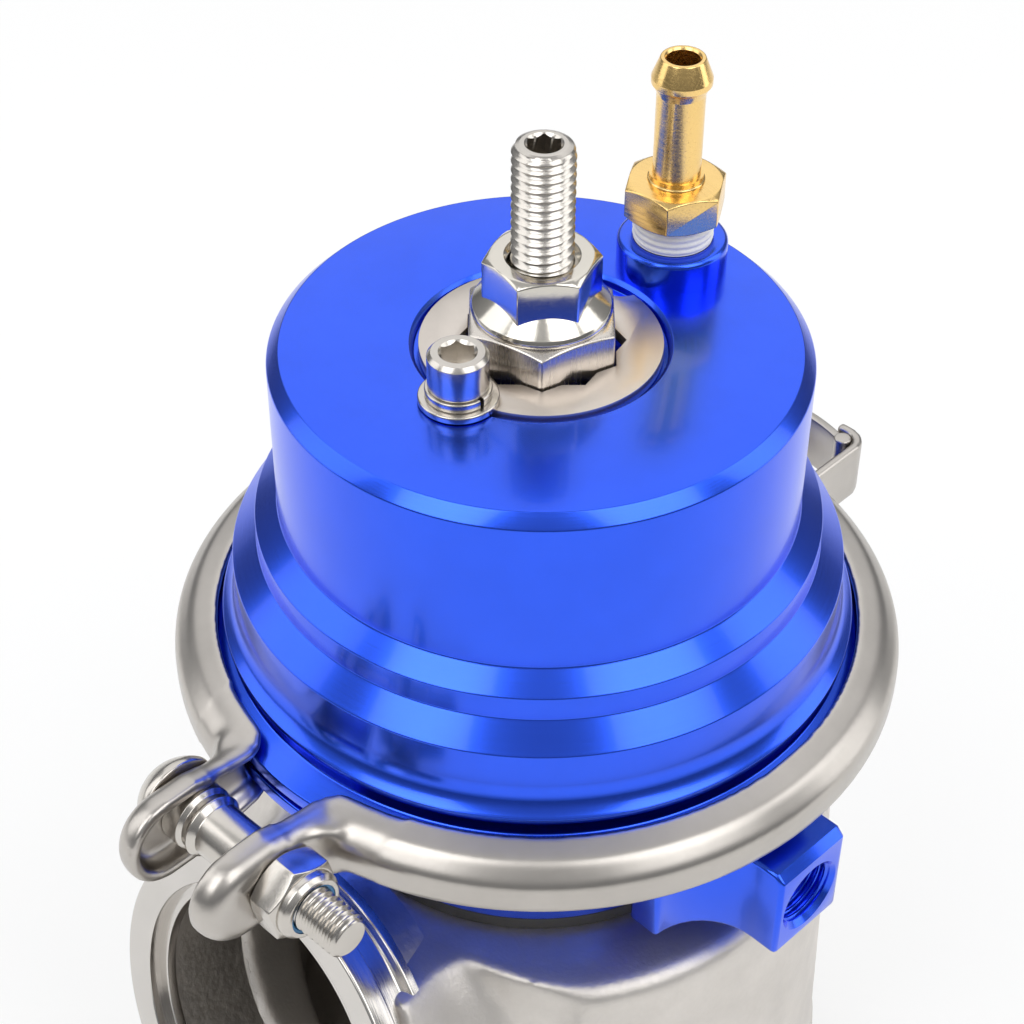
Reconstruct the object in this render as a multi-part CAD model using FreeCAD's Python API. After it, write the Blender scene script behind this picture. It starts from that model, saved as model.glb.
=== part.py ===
import FreeCAD, Part
import math
import os

# External turbo wastegate, in millimetres.
# The origin is the centre of the inlet flange's lower face. +Z runs up the valve's axis, -Y is the outlet's side.

# Fits and gaps, one side
press_gap = 0.02
thread_gap = 0.05
running_gap = 0.05
bolt_hole_gap = 0.3
part_gap = 0.3

# Heights of the pieces, from the inlet flange's face up
deck_height = 73.0
gasket_thickness = 2.0
housing_height = 26.5
cap_height = 48.5
split_height = deck_height + gasket_thickness + housing_height

# Valve body: a drafted vessel
vessel_top_radius = 43.7
vessel_foot_radius = 45.5
vessel_bead_proud = 0.5
vessel_bead_height = 2.6
vessel_bead_base = 16.5
vessel_underside = 11.5
vessel_corner = 5.0
chamber_radius = 37.0
chamber_floor = 19.0
chamber_deck_wall = 12.0
chamber_roof = deck_height - chamber_deck_wall
deck_lip = 2.6
gas_bore_radius = 22.0
inner_way_radius = 21.0
inner_way_rise = 3.0

# Inlet flange, for a band clamp
inlet_rim_radius = 33.25
inlet_rim_width = 3.3
inlet_neck_radius = 27.5
inlet_register_radius = 27.0
register_depth = 2.0
flange_taper = 20.0

# Outlet flange and tube, tilted up from the horizontal
outlet_tilt = 13.5
outlet_reach = 55.0
outlet_drop = 16.0
outlet_height = deck_height - outlet_drop
outlet_rim_radius = 28.6
outlet_rim_width = 3.3
outlet_neck_radius = 25.0
outlet_neck_length = 8.5
outlet_tube_radius = 26.4
outlet_collar_start = 11.5
outlet_collar_curve = 13.0
outlet_register_radius = 23.7
outlet_step_wall = 4.2
relief_radius = 64.3
relief_setback = 14.9

# Valve, its seat, guide and seal
seat_top = 27.0
seat_height = 6.0
seat_inner_radius = 20.0
seat_outer_radius = 25.0
seat_boss_wall = 3.0
seat_angle_depth = 2.0
valve_head_radius = 23.5
valve_head_rim = 3.0
valve_head_gap = 0.2
valve_nose_depth = 1.0
valve_nose_inset = 2.0
valve_neck_rise = 9.5
valve_neck_bend = (0.2, 0.35)
stem_radius = 4.75
stem_thread_radius = 4.0
stem_thread_length = 12.0
stem_thread_lead = 0.8
guide_radius = 8.0
guide_drop = 9.0
guide_chamfer = 1.0
guide_boss_wall = 4.0
guide_boss_drop = 6.0
seal_radius = 8.0
seal_height = 4.0
seal_lip = 1.2
seal_inset = 1.0
circlip_height = 1.0
circlip_wall = 1.6
circlip_bite = 0.6
circlip_gap = 3.0

# Flanges that the band clamp draws together
clamp_radius = 50.0
rim_inset = 3.5
rim_root_inset = 7.7
rim_radius = clamp_radius - rim_inset
rim_root_radius = clamp_radius - rim_root_inset
rim_root_half = 3.75
rim_slope = 16.0
flange_depth = 4.0

# Lower housing
housing_foot_radius = 31.5
housing_foot_height = 3.5
housing_waist = 2.6
housing_throat = 2.0
housing_floor = 6.0
housing_hub_radius = 11.0
housing_hub_height = 9.5
bowl_foot_inset = 15.8
bowl_top_inset = 5.3
bowl_foot_radius = rim_root_radius - bowl_foot_inset
bowl_corner = 1.5
bowl_top_radius = rim_root_radius - bowl_top_inset
bowl_land = 2.5
port_proud = 0.9
port_face = clamp_radius + port_proud
port_half_width = 6.4
port_top_drop = 7.4
port_bottom_drop = 22.5
port_drop = 15.5
port_top = split_height - port_top_drop
port_bottom = split_height - port_bottom_drop
port_edge = 1.2
port_corner = 2.5
port_flare = 9.0
port_flare_drop = 4.0
port_block_depth = 0.55
port_height = split_height - port_drop
port_radius = 4.9
port_countersink = 0.6
port_depth = 10.0
port_drill_point = 1.5
port_passage_radius = 2.4
port_passage_run = 4.0
housing_screw_inset = 6.5
housing_screw_circle = bowl_foot_radius - housing_screw_inset
housing_screw_radius = 2.5
housing_screw_head_radius = 4.25
housing_screw_head_height = 5.0
housing_screw_reach = 9.0
housing_screw_socket = 4.0
housing_screw_socket_depth = 2.75
housing_screw_count = 4

# Diaphragm stack
diaphragm_thickness = 1.0
diaphragm_inset = 2.5
fold_gap = 0.4
fold_width = 5.0
piston_gap = 1.6
diaphragm_radius = rim_radius - diaphragm_inset
fold_outer_radius = bowl_top_radius - fold_gap
fold_inner_radius = fold_outer_radius - fold_width
piston_radius = fold_inner_radius - piston_gap
piston_floor = 3.0
piston_wall = 2.2
piston_rim = 6.0
piston_ring_height = 4.0
washer_gap = 1.0
washer_radius = piston_radius - washer_gap
washer_thickness = 2.0
washer_edge = 0.7
stem_nut_flat = 13.0
stem_nut_height = 5.0

# Cap
cap_crown_inset = 7.8
cap_band_proud = 3.1
cap_wall_inset = 1.3
cap_bead_proud = 0.7
cap_bore_wall = 4.0
cap_crown_radius = rim_root_radius - cap_crown_inset
cap_crown_drop = 23.5
cap_top_chamfer = 1.6
cap_band_radius = cap_crown_radius + cap_band_proud
cap_band_drop = 25.8
cap_band_width = 3.5
cap_wall_radius = rim_root_radius - cap_wall_inset
cap_wall_drop = 32.4
cap_bead_radius = rim_root_radius + cap_bead_proud
cap_bead_base = 6.2
cap_bead_top = 8.0
cap_bead_fillet = 3.0
cap_bead_edge = 0.3
cap_bead_round = 0.9
cap_roof = 12.0
cap_bore_radius = cap_crown_radius - cap_bore_wall
cap_bore_drop = 28.0
cap_bore_corner = 3.0
cap_skirt_radius = bowl_top_radius
cap_skirt_drop = 35.0

# Springs and their upper seat
spring_seat_inset = 5.0
outer_spring_inset = 4.0
spring_seat_radius = cap_bore_radius - spring_seat_inset
spring_seat_thickness = 3.0
spring_seat_lip = 2.5
spring_seat_rim = 2.0
spring_seat_edge = 1.0
outer_spring_radius = spring_seat_radius - outer_spring_inset
outer_spring_wire = 2.8
outer_spring_turns = 5.5
inner_spring_radius = 11.5
inner_spring_wire = 2.2
inner_spring_turns = 6.5
closed_coil_pitch = 1.05
coil_steps = 14
wire_sides = 8

# Fitting boss and the adjuster's recess
boss_offset = 24.2
boss_radius = 7.25
boss_height = 4.4
boss_edge = 0.8
recess_radius = 16.1
recess_depth = 1.5
recess_edge = 0.5

# Adjuster, its ring, the stop stud and the flange nut
adjuster_flat = 18.0
adjuster_top = 4.9
adjuster_edge = 0.5
adjuster_corner_angle = -45.0
adjuster_pocket_radius = 11.2
adjuster_pocket_depth = 3.2
adjuster_lift = 0.6
adjuster_shank_radius = 8.0
adjuster_shank_end = 13.5
oring_wire = 1.6
oring_drop = 8.0
stud_radius = 3.92
stud_top = 28.6
stud_length = 50.0
stud_end = 0.9
stud_socket = 4.0
stud_socket_depth = 6.0
flange_nut_radius = 8.9
flange_nut_flat = 13.0
flange_nut_height = 8.0
flange_nut_skirt = 3.0
flange_nut_edge = 1.1
flange_nut_sink = 0.7
flange_nut_corner_angle = -69.0

# Locking plate and its screw
plate_radius = 15.4
plate_thickness = 1.6
star_gap = 0.25
scallop_radius = 3.4
scallop_circle = 16.4
scallop_angles = (-84.0, 96.0)
scallop_corner = 0.8
lock_screw_circle = 15.94
lock_screw_angle = -84.2
lock_screw_radius = 2.5
lock_screw_length = 12.0
lock_screw_head_radius = 3.8
lock_screw_head_height = 5.0
lock_screw_socket = 4.0
lock_screw_socket_depth = 3.0
lock_flat_washer_radius = 5.0
lock_flat_washer_height = 1.0
lock_spring_washer_radius = 4.15
lock_spring_washer_height = 1.3
lock_spring_washer_split = 0.6
lock_hole_spare = 0.6

# Hose fitting and its thread tape
fitting_thread_radius = 5.0
fitting_thread_depth = 8.0
fitting_thread_lead = 0.6
fitting_gap_height = 3.6
fitting_hex_flat = 12.0
fitting_hex_height = 5.0
fitting_hex_angle = -57.0
fitting_tube_radius = 3.1
fitting_tube_foot = 0.6
fitting_tube_length = 12.5
barb_radius = 3.85
barb_rise = 1.4
barb_edge = 0.3
barb_land = 0.8
barb_length = 4.9
barb_tip_radius = 2.8
fitting_bore_radius = 2.4
tape_thickness = 0.3

# Band clamp, in its own frame until it is turned about the valve's axis
clamp_turn = 1.2
clamp_wall = 1.7
clamp_mouth_inset = 6.1
clamp_leg_inset = 2.4
clamp_mouth_radius = clamp_radius - clamp_mouth_inset
clamp_mouth_half = 5.5
clamp_leg_radius = clamp_radius - clamp_leg_inset
clamp_corner = 2.4
ear_gap_half = 5.25
ear_cup_depth = 4.5
ear_half_height = 6.5
ear_projection = 17.5
ear_inset = 3.2
ear_reach = clamp_radius + ear_projection
ear_wall = 1.8
ear_start = clamp_radius - ear_inset
ear_mouth = 9.0
clamp_bolt_outset = 6.0
clamp_bolt_offset = clamp_radius + clamp_bolt_outset
clamp_bolt_radius = 3.0
clamp_bolt_reach = 22.3
clamp_bolt_lead = 0.6
clamp_bolt_head_radius = 6.0
clamp_bolt_head_height = 4.85
clamp_bolt_head_edge = 0.8
clamp_hole_gap = 0.75
spacer_collar_radius = 4.6
spacer_collar_width = 2.0
spacer_radius = 3.7
spacer_end = 3.8
clamp_nut_flat = 10.0
clamp_nut_hex_height = 4.4
clamp_nut_height = 6.0
clamp_nut_corner_angle = 10.0
clamp_nut_collar_radius = 4.7
clamp_nut_collar_edge = 0.7
insert_radius = 4.0
insert_height = 1.6
insert_recess = 0.2
hinge_outset = 7.0
hinge_offset = clamp_radius + hinge_outset
hinge_leg_root = 3.5
hinge_pin_spacing = 9.0
hinge_pin_radius = 1.3
hinge_half_height = 4.75
hinge_strip = 1.5
hinge_leg = 5.0
hinge_slot_half = 2.8
link_half_height = 2.4
link_half_width = 0.7

# Places that follow from the sizes above
housing_base = deck_height + gasket_thickness
housing_floor_top = housing_base + housing_floor
cap_base = split_height + diaphragm_thickness / 2
housing_top = split_height - diaphragm_thickness / 2
cap_top = split_height + cap_height
cap_roof_under = cap_top - cap_roof
recess_floor = cap_top - recess_depth
pocket_floor = recess_floor - adjuster_pocket_depth
plate_top = recess_floor + plate_thickness
adjuster_hex_top = cap_top + adjuster_top
adjuster_end = cap_top - adjuster_shank_end
flange_nut_top = adjuster_hex_top + flange_nut_height
stud_tip = cap_top + stud_top
piston_base = cap_base
piston_floor_top = piston_base + piston_floor
spring_seat_under = adjuster_end - spring_seat_thickness
stem_shoulder = housing_top - washer_thickness
rim_edge_half = rim_root_half - (rim_radius - rim_root_radius) * math.tan(math.radians(rim_slope))
clamp_leg_half = clamp_mouth_half - (clamp_leg_radius - clamp_mouth_radius) * math.tan(math.radians(rim_slope))

Z = FreeCAD.Vector(0, 0, 1)
ORIGIN = FreeCAD.Vector(0, 0, 0)


def point(x, y, z):
    return FreeCAD.Vector(x, y, z)


def polar(radius, degrees, z=0.0):
    angle = math.radians(degrees)
    return point(radius * math.cos(angle), radius * math.sin(angle), z)


def section(start, *steps):
    """A closed face in the XZ plane. A step is a point, or a pair: a point on an arc and its end."""
    edges = []
    here = start
    for step in steps + (start,):
        if isinstance(step[0], tuple):
            through, there = step
            edges.append(Part.Arc(point(here[0], 0, here[1]), point(through[0], 0, through[1]),
                                  point(there[0], 0, there[1])).toShape())
        else:
            there = step
            if there != here:
                edges.append(Part.makeLine(point(here[0], 0, here[1]), point(there[0], 0, there[1])))
        here = there
    return Part.Face(Part.Wire(edges))


def turned(start, *steps, degrees=360.0):
    """A solid of revolution about the Z axis."""
    return section(start, *steps).revolve(ORIGIN, Z, degrees)


def rod(radius, low, high, x=0.0, y=0.0):
    return Part.makeCylinder(radius, high - low, point(x, y, low))


def tube(inner, outer, low, high, x=0.0, y=0.0):
    return rod(outer, low, high, x, y).cut(rod(inner, low - 1, high + 1, x, y))


def block(x0, x1, y0, y1, z0, z1):
    return Part.makeBox(x1 - x0, y1 - y0, z1 - z0, point(x0, y0, z0))


def hexagon(flat, low, high, corner_degrees=0.0, x=0.0, y=0.0):
    corner = flat / math.sqrt(3)
    corners = [polar(corner, corner_degrees + 60 * k) + point(x, y, low) for k in range(7)]
    return Part.Face(Part.makePolygon(corners)).extrude(point(0, 0, high - low))


def topped_hexagon(flat, low, high, corner_degrees=0.0, slope=30.0):
    """A hexagon whose upper corners are turned off by a cone."""
    corner = flat / math.sqrt(3)
    start = flat / 2 * 0.97
    drop = (corner + 1 - start) * math.tan(math.radians(slope))
    turned_top = turned((0, low), (corner + 1, low), (corner + 1, high - drop), (start, high), (0, high))
    return hexagon(flat, low, high, corner_degrees).common(turned_top)


def edges_where(shape, test):
    return [edge for edge in shape.Edges if test(edge)]


def flat_at(edge, height, slack=0.01):
    box = edge.BoundBox
    return abs(box.ZMin - height) < slack and abs(box.ZMax - height) < slack


def spun(shape, degrees, centre=ORIGIN, axis=Z):
    turned_copy = shape.copy()
    turned_copy.rotate(centre, axis, degrees)
    return turned_copy


def rim_section(side):
    """The wedge-shaped edge that the clamp grips, above the split (side 1) or below it (side -1)."""
    face = diaphragm_thickness / 2 * side + split_height
    inner = rim_root_radius - flange_depth
    return turned((inner, face), (rim_radius, face),
                  (rim_radius, split_height + side * rim_edge_half),
                  (rim_root_radius, split_height + side * rim_root_half),
                  (inner, split_height + side * rim_root_half))


# Valve body

def outlet_frame(shape):
    """Moves a piece built up the Z axis, from its face at 0, to the outlet: its axis points out of the tube."""
    placed = shape.copy()
    placed.rotate(ORIGIN, point(1, 0, 0), 90 - outlet_tilt)
    placed.translate(point(0, -outlet_reach, outlet_height))
    return placed


def vband_rim(rim, width, neck):
    """A flange rim with its face at 0, tapered behind, on a neck that goes on below."""
    taper = (rim - neck) * math.tan(math.radians(flange_taper))
    return turned((0, 0), (rim, 0), (rim, -width), (neck, -width - taper), (0, -width - taper))


def vessel():
    foot = vessel_bead_base + vessel_bead_height
    bead = vessel_foot_radius + vessel_bead_proud
    bend = vessel_corner * (1 - math.cos(math.radians(45)))
    underside = vessel_bead_base - vessel_corner
    return turned((0, vessel_underside), (bead - vessel_corner, vessel_underside),
                  ((bead - bend, underside + bend), (bead, vessel_bead_base)),
                  (bead, foot), (vessel_foot_radius, foot + vessel_bead_proud),
                  (vessel_top_radius, deck_height), (0, deck_height))


def front_relief():
    """The wide curve that keeps the vessel's front clear of a clamp on the outlet flange."""
    reach = relief_setback + relief_radius
    height = 2 * (deck_height + vessel_foot_radius)
    column = Part.makeCylinder(relief_radius, height, point(0, -height / 2, -reach), point(0, 1, 0))
    return outlet_frame(column)


def outlet_tube():
    """The cast tube, with a collar that curves out of it into the vessel's front."""
    root = outlet_collar_start + outlet_collar_curve
    bend = outlet_collar_curve * (1 - math.cos(math.radians(45)))
    wide = outlet_tube_radius + outlet_collar_curve
    return turned((0, -outlet_reach), (outlet_tube_radius, -outlet_reach),
                  (outlet_tube_radius, -root - outlet_step_wall), (wide, -root - outlet_step_wall), (wide, -root),
                  ((outlet_tube_radius + bend, -root + bend), (outlet_tube_radius, -outlet_collar_start)),
                  (outlet_tube_radius, -outlet_neck_length), (0, -outlet_neck_length))


def valve_body():
    relief = front_relief()
    wide = vessel_foot_radius + outlet_reach
    body = vessel().common(relief)
    above_deck = block(-wide, wide, -wide, wide, deck_height, deck_height + wide).common(relief)
    body = body.makeFillet(deck_lip, edges_where(body, is_deck_edge))
    body = body.fuse(outlet_frame(outlet_tube()).cut(above_deck)).removeSplitter()
    neck = outlet_frame(rod(outlet_neck_radius, -outlet_neck_length, 0))
    rim = outlet_frame(vband_rim(outlet_rim_radius, outlet_rim_width, outlet_neck_radius))
    inlet = spun(vband_rim(inlet_rim_radius, inlet_rim_width, inlet_neck_radius), 180, ORIGIN, point(1, 0, 0))
    inlet_neck = rod(inlet_neck_radius, 0, vessel_underside + 1)
    body = body.fuse([neck, rim, inlet, inlet_neck]).removeSplitter()
    return body.cut(gas_way()).cut(deck_holes()).removeSplitter()


def is_deck_edge(edge):
    return flat_at(edge, deck_height)


def gas_way():
    """The inlet bore, the chamber over the seat, and the outlet bore with its register."""
    boss = seat_outer_radius + seat_boss_wall
    seat_floor = seat_top - seat_height
    chamber = rod(chamber_radius, chamber_floor, chamber_roof)
    seat_boss = rod(boss, chamber_floor - 1, seat_top - 1)
    guide_boss = rod(guide_radius + guide_boss_wall, chamber_roof - guide_boss_drop, chamber_roof + 1)
    inner_way = outlet_frame(rod(inner_way_radius, -outlet_reach, 0))
    wide = outlet_reach + inner_way_radius
    low_way = block(-wide, wide, -wide, 0, 0, chamber_roof + inner_way_rise)
    step = -relief_setback * math.cos(math.radians(outlet_tilt)) - outlet_step_wall
    front_way = outlet_frame(rod(gas_bore_radius, step, 1))
    chamber = chamber.cut(seat_boss).fuse(inner_way.common(low_way).cut(seat_boss)).fuse(front_way)
    chamber = chamber.cut(guide_boss)
    outlet_register = outlet_frame(rod(outlet_register_radius, -register_depth, 1))
    inlet_bore = rod(gas_bore_radius, -1, seat_floor + 1)
    seat_pocket = rod(seat_outer_radius + press_gap, seat_floor, seat_top)
    inlet_register = rod(inlet_register_radius, -1, register_depth)
    return chamber.fuse([outlet_register, inlet_bore, seat_pocket, inlet_register])


def screw_places():
    step = 360.0 / housing_screw_count
    return [polar(housing_screw_circle, step / 2 + step * k) for k in range(housing_screw_count)]


def deck_holes():
    low = deck_height - housing_screw_reach - lock_hole_spare
    holes = [rod(housing_screw_radius + thread_gap, low, deck_height + 1, p.x, p.y) for p in screw_places()]
    guide_hole = rod(guide_radius + press_gap, chamber_roof - guide_drop - 1, deck_height + 1)
    return guide_hole.fuse(holes)


def valve_seat():
    floor = seat_top - seat_height
    return turned((seat_inner_radius, floor), (seat_outer_radius, floor), (seat_outer_radius, seat_top),
                  (seat_inner_radius + seat_angle_depth, seat_top),
                  (seat_inner_radius, seat_top - seat_angle_depth))


def poppet_valve():
    face = seat_top
    seat_edge = seat_inner_radius + seat_angle_depth
    contact_low = face - seat_angle_depth + part_gap
    rim_top = face + valve_head_rim
    flank = valve_head_radius - stem_radius
    across, up = valve_neck_bend
    through = (stem_radius + flank * across, rim_top + valve_neck_rise * up)
    top = stem_shoulder + stem_thread_length
    lead = stem_thread_lead
    nose = contact_low - valve_nose_depth
    return turned((0, nose), (seat_inner_radius - valve_nose_inset, nose),
                  (seat_inner_radius - part_gap, contact_low),
                  (seat_edge - part_gap, face), (seat_edge - part_gap, face + valve_head_gap),
                  (valve_head_radius, face + valve_head_gap), (valve_head_radius, rim_top),
                  (through, (stem_radius, rim_top + valve_neck_rise)),
                  (stem_radius, stem_shoulder), (stem_thread_radius, stem_shoulder),
                  (stem_thread_radius, top - lead), (stem_thread_radius - lead, top), (0, top))


def stem_guide():
    low = chamber_roof - guide_drop
    return turned((stem_radius + running_gap, low), (guide_radius - guide_chamfer, low),
                  (guide_radius, low + guide_chamfer), (guide_radius, deck_height),
                  (stem_radius + running_gap, deck_height))


def stem_seal():
    low = seal_floor()
    inner = stem_radius + running_gap
    return turned((inner, low), (seal_radius, low), (seal_radius, low + seal_height),
                  (inner + 2 * seal_lip, low + seal_height), (inner + seal_lip, low + seal_height - seal_lip),
                  (inner, low + seal_height))


def seal_floor():
    return housing_base + housing_hub_height - circlip_height - seal_height - seal_inset


def seal_circlip():
    low = seal_floor() + seal_height
    outer = seal_radius + circlip_bite
    ring = tube(outer - circlip_wall, outer, low, low + circlip_height)
    return ring.cut(block(0, outer + 1, -circlip_gap / 2, circlip_gap / 2, low - 1, low + circlip_height + 1))


# Lower housing

def insulator_gasket():
    gasket = tube(guide_radius + guide_boss_wall, housing_foot_radius, deck_height, housing_base)
    clear = housing_screw_radius + bolt_hole_gap
    return gasket.cut([rod(clear, deck_height - 1, housing_base + 1, p.x, p.y) for p in screw_places()])


def port_block():
    """A block with an upright threaded face, whose sides flare into the housing."""
    inner = rim_root_radius * port_block_depth
    flare_top = port_face - port_flare_drop
    flare_foot = flare_top - port_flare
    half = port_half_width + port_flare
    left = [point(inner, half, 0), point(flare_foot, half, 0), point(flare_top, port_half_width, 0),
            point(port_face, port_half_width, 0)]
    bend = port_flare * (1 - math.cos(math.radians(45)))
    middle = point(flare_foot + bend, port_half_width + bend, 0)
    mirrored = [point(p.x, -p.y, 0) for p in left]
    edges = [Part.makeLine(left[0], left[1]), Part.Arc(left[1], middle, left[2]).toShape(),
             Part.makeLine(left[2], left[3]), Part.makeLine(left[3], mirrored[3]),
             Part.makeLine(mirrored[3], mirrored[2]),
             Part.Arc(mirrored[2], point(middle.x, -middle.y, 0), mirrored[1]).toShape(),
             Part.makeLine(mirrored[1], mirrored[0]), Part.makeLine(mirrored[0], left[0])]
    face = Part.Face(Part.Wire(edges))
    solid = face.extrude(point(0, 0, port_top - port_bottom))
    solid.translate(point(0, 0, port_bottom))
    solid = solid.makeChamfer(port_edge, edges_where(solid, lambda e: on_port_face(e) and flat_at(e, port_top)))
    return solid.makeFillet(port_corner, edges_where(solid, lambda e: on_port_face(e) and flat_at(e, port_bottom)))


def on_port_face(edge):
    return edge.BoundBox.XMin > port_face - 0.01


def housing_blank():
    foot_top = housing_base + housing_foot_height
    under = split_height - rim_root_half
    flank_top = (rim_root_radius, under - housing_throat)
    flank_foot = (housing_foot_radius, foot_top)
    inner = rim_root_radius - flange_depth
    dx = flank_top[0] - flank_foot[0]
    dz = flank_top[1] - flank_foot[1]
    length = math.hypot(dx, dz)
    middle = ((flank_top[0] + flank_foot[0]) / 2 - housing_waist * dz / length,
              (flank_top[1] + flank_foot[1]) / 2 + housing_waist * dx / length)
    return turned((0, housing_base), (housing_foot_radius, housing_base), flank_foot,
                  (middle, flank_top), (rim_root_radius, under), (inner, under), (inner, housing_top),
                  (0, housing_top))


def lower_housing():
    shell = housing_blank().fuse([rim_section(-1), port_block()]).removeSplitter()
    top = housing_top + 1
    bend = bowl_corner * (1 - math.cos(math.radians(45)))
    bowl = turned((0, housing_floor_top), (bowl_foot_radius - bowl_corner, housing_floor_top),
                  ((bowl_foot_radius - bend, housing_floor_top + bend),
                   (bowl_foot_radius, housing_floor_top + bowl_corner)),
                  (bowl_top_radius, housing_top - bowl_land), (bowl_top_radius, top), (0, top))
    hub = rod(housing_hub_radius, housing_floor_top - 1, housing_base + housing_hub_height)
    shell = shell.cut(bowl.cut(hub))
    seal_bore = rod(seal_radius + press_gap, seal_floor(), housing_base + housing_hub_height + 1)
    clip_groove = rod(seal_radius + circlip_bite + press_gap, seal_floor() + seal_height,
                      seal_floor() + seal_height + circlip_height)
    stem_hole = rod(stem_radius + bolt_hole_gap, housing_base - 1, top)
    clear = housing_screw_radius + bolt_hole_gap
    screws = [rod(clear, housing_base - 1, housing_floor_top + 1, p.x, p.y) for p in screw_places()]
    return shell.cut([seal_bore, clip_groove, stem_hole, lower_port_hole()] + screws)


def lower_port_hole():
    passage = port_face - bowl_foot_radius + port_passage_run
    drill = turned((0, port_countersink), (port_radius + 2 * port_countersink, port_countersink),
                   (port_radius, -port_countersink), (port_radius, -port_depth),
                   (port_passage_radius, -port_depth - port_drill_point),
                   (port_passage_radius, -passage), (0, -passage))
    drill.rotate(ORIGIN, point(0, 1, 0), 90)
    drill.translate(point(port_face, 0, port_height))
    return drill


def socket_screw(radius, length, head_radius, head_height, socket, socket_depth):
    """A socket-head screw up the Z axis, the underside of its head at 0."""
    lead = radius * 0.2
    edge = head_radius * 0.13
    solid = turned((0, -length), (radius - lead, -length), (radius, -length + lead), (radius, 0),
                   (head_radius, 0), (head_radius, head_height - edge), (head_radius - edge, head_height),
                   (0, head_height))
    return solid.cut(hexagon(socket, head_height - socket_depth, head_height + 1))


def moved(shape, x, y, z):
    placed = shape.copy()
    placed.translate(point(x, y, z))
    return placed


def housing_screws():
    length = housing_floor + gasket_thickness + housing_screw_reach
    one = socket_screw(housing_screw_radius, length, housing_screw_head_radius, housing_screw_head_height,
                       housing_screw_socket, housing_screw_socket_depth)
    return Part.makeCompound([moved(one, p.x, p.y, housing_floor_top) for p in screw_places()])


# Diaphragm stack

def diaphragm():
    """A rubber disc held at its rim, with one rolled fold that stands up round the piston."""
    low = housing_top
    high = cap_base
    t = diaphragm_thickness
    middle = (fold_inner_radius + fold_outer_radius) / 2
    rise = (fold_outer_radius - fold_inner_radius) / 2
    hole = stem_thread_radius + running_gap
    return turned((hole, low), (fold_inner_radius + t, low),
                  ((middle, low + rise - t), (fold_outer_radius - t, low)),
                  (diaphragm_radius, low), (diaphragm_radius, high), (fold_outer_radius, high),
                  ((middle, high + rise), (fold_inner_radius, high)), (hole, high))


def diaphragm_piston():
    hole = stem_thread_radius + running_gap
    rim_top = piston_base + piston_rim
    ring_in = inner_spring_radius + inner_spring_wire / 2 + part_gap
    ring_out = (outer_spring_radius - outer_spring_wire / 2) * math.cos(math.pi / coil_steps) - part_gap
    cup = turned((hole, piston_base), (piston_radius, piston_base), (piston_radius, rim_top),
                 (piston_radius - piston_wall, rim_top),
                 (piston_radius - piston_wall, piston_floor_top), (hole, piston_floor_top))
    return cup.fuse(tube(ring_in, ring_out, piston_base + 1, piston_floor_top + piston_ring_height)).removeSplitter()


def diaphragm_washer():
    hole = stem_thread_radius + running_gap
    low = stem_shoulder
    return turned((hole, low), (washer_radius - washer_edge, low), (washer_radius, low + washer_edge),
                  (washer_radius, housing_top), (hole, housing_top))


def stem_nut():
    nut = topped_hexagon(stem_nut_flat, piston_floor_top, piston_floor_top + stem_nut_height)
    top = piston_floor_top + stem_nut_height
    return nut.cut(rod(stem_thread_radius + thread_gap, piston_floor_top - 1, top + 1))


def coil_spring(radius, wire, turns, low, high):
    """A round-wire coil spring. The first and last turns are closed: each lies against its neighbour."""
    closed = wire * closed_coil_pitch
    free = high - low - wire - 2 * closed

    def height(turn):
        if turn < 1:
            return low + wire / 2 + closed * turn
        if turn > turns - 1:
            return high - wire / 2 - closed * (turns - turn)
        return low + wire / 2 + closed + free * (turn - 1) / (turns - 2)

    corner = wire / 2 / math.cos(math.pi / wire_sides)
    corners = [spun(Part.Vertex(radius + corner, 0, 0), 360 * (k + 0.5) / wire_sides, point(radius, 0, 0),
                    point(0, 1, 0)).Point for k in range(wire_sides)]
    wire_section = Part.makePolygon(corners + corners[:1])
    rings = []
    for k in range(int(turns * coil_steps) + 1):
        turn = k / coil_steps
        rings.append(moved(spun(wire_section, 360 * turn), 0, 0, height(turn)))
    return Part.makeLoft(rings, True, True)


def outer_spring():
    return coil_spring(outer_spring_radius, outer_spring_wire, outer_spring_turns, piston_floor_top,
                       spring_seat_under)


def inner_spring():
    return coil_spring(inner_spring_radius, inner_spring_wire, inner_spring_turns, piston_floor_top,
                       spring_seat_under)


def upper_spring_seat():
    hole = stud_radius + part_gap
    top = adjuster_end
    lip = spring_seat_under - spring_seat_lip
    rim = spring_seat_radius - spring_seat_rim
    return turned((hole, spring_seat_under), (rim, spring_seat_under), (rim, lip), (spring_seat_radius, lip),
                  (spring_seat_radius, top - spring_seat_edge), (spring_seat_radius - spring_seat_edge, top),
                  (hole, top))


# Cap

def cap_blank():
    shoulder = cap_top - cap_band_drop
    crown = cap_top - cap_crown_drop
    band_low = shoulder - cap_band_width
    wall_top = cap_top - cap_wall_drop
    bead_low = split_height + cap_bead_base
    bead_top = split_height + cap_bead_top
    step = cap_bead_radius - cap_wall_radius
    rise = cap_bead_fillet
    edge = cap_bead_edge
    inner = rim_root_radius - flange_depth
    arc_foot = (cap_bead_radius - edge, bead_top - cap_bead_round + edge)
    arc_mid = (cap_wall_radius + step * 0.22, bead_top + rise * 0.3)
    return turned((0, cap_base), (inner, cap_base), (inner, split_height + rim_root_half),
                  (rim_root_radius, split_height + rim_root_half), (rim_root_radius, bead_low),
                  (cap_bead_radius - edge, bead_low), (cap_bead_radius, bead_low + edge),
                  (cap_bead_radius, bead_top - cap_bead_round), arc_foot,
                  (arc_mid, (cap_wall_radius, bead_top + rise)),
                  (cap_wall_radius, wall_top), (cap_band_radius, band_low), (cap_band_radius, shoulder),
                  (cap_crown_radius, crown), (cap_crown_radius, cap_top - cap_top_chamfer),
                  (cap_crown_radius - cap_top_chamfer, cap_top), (0, cap_top))


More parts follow.
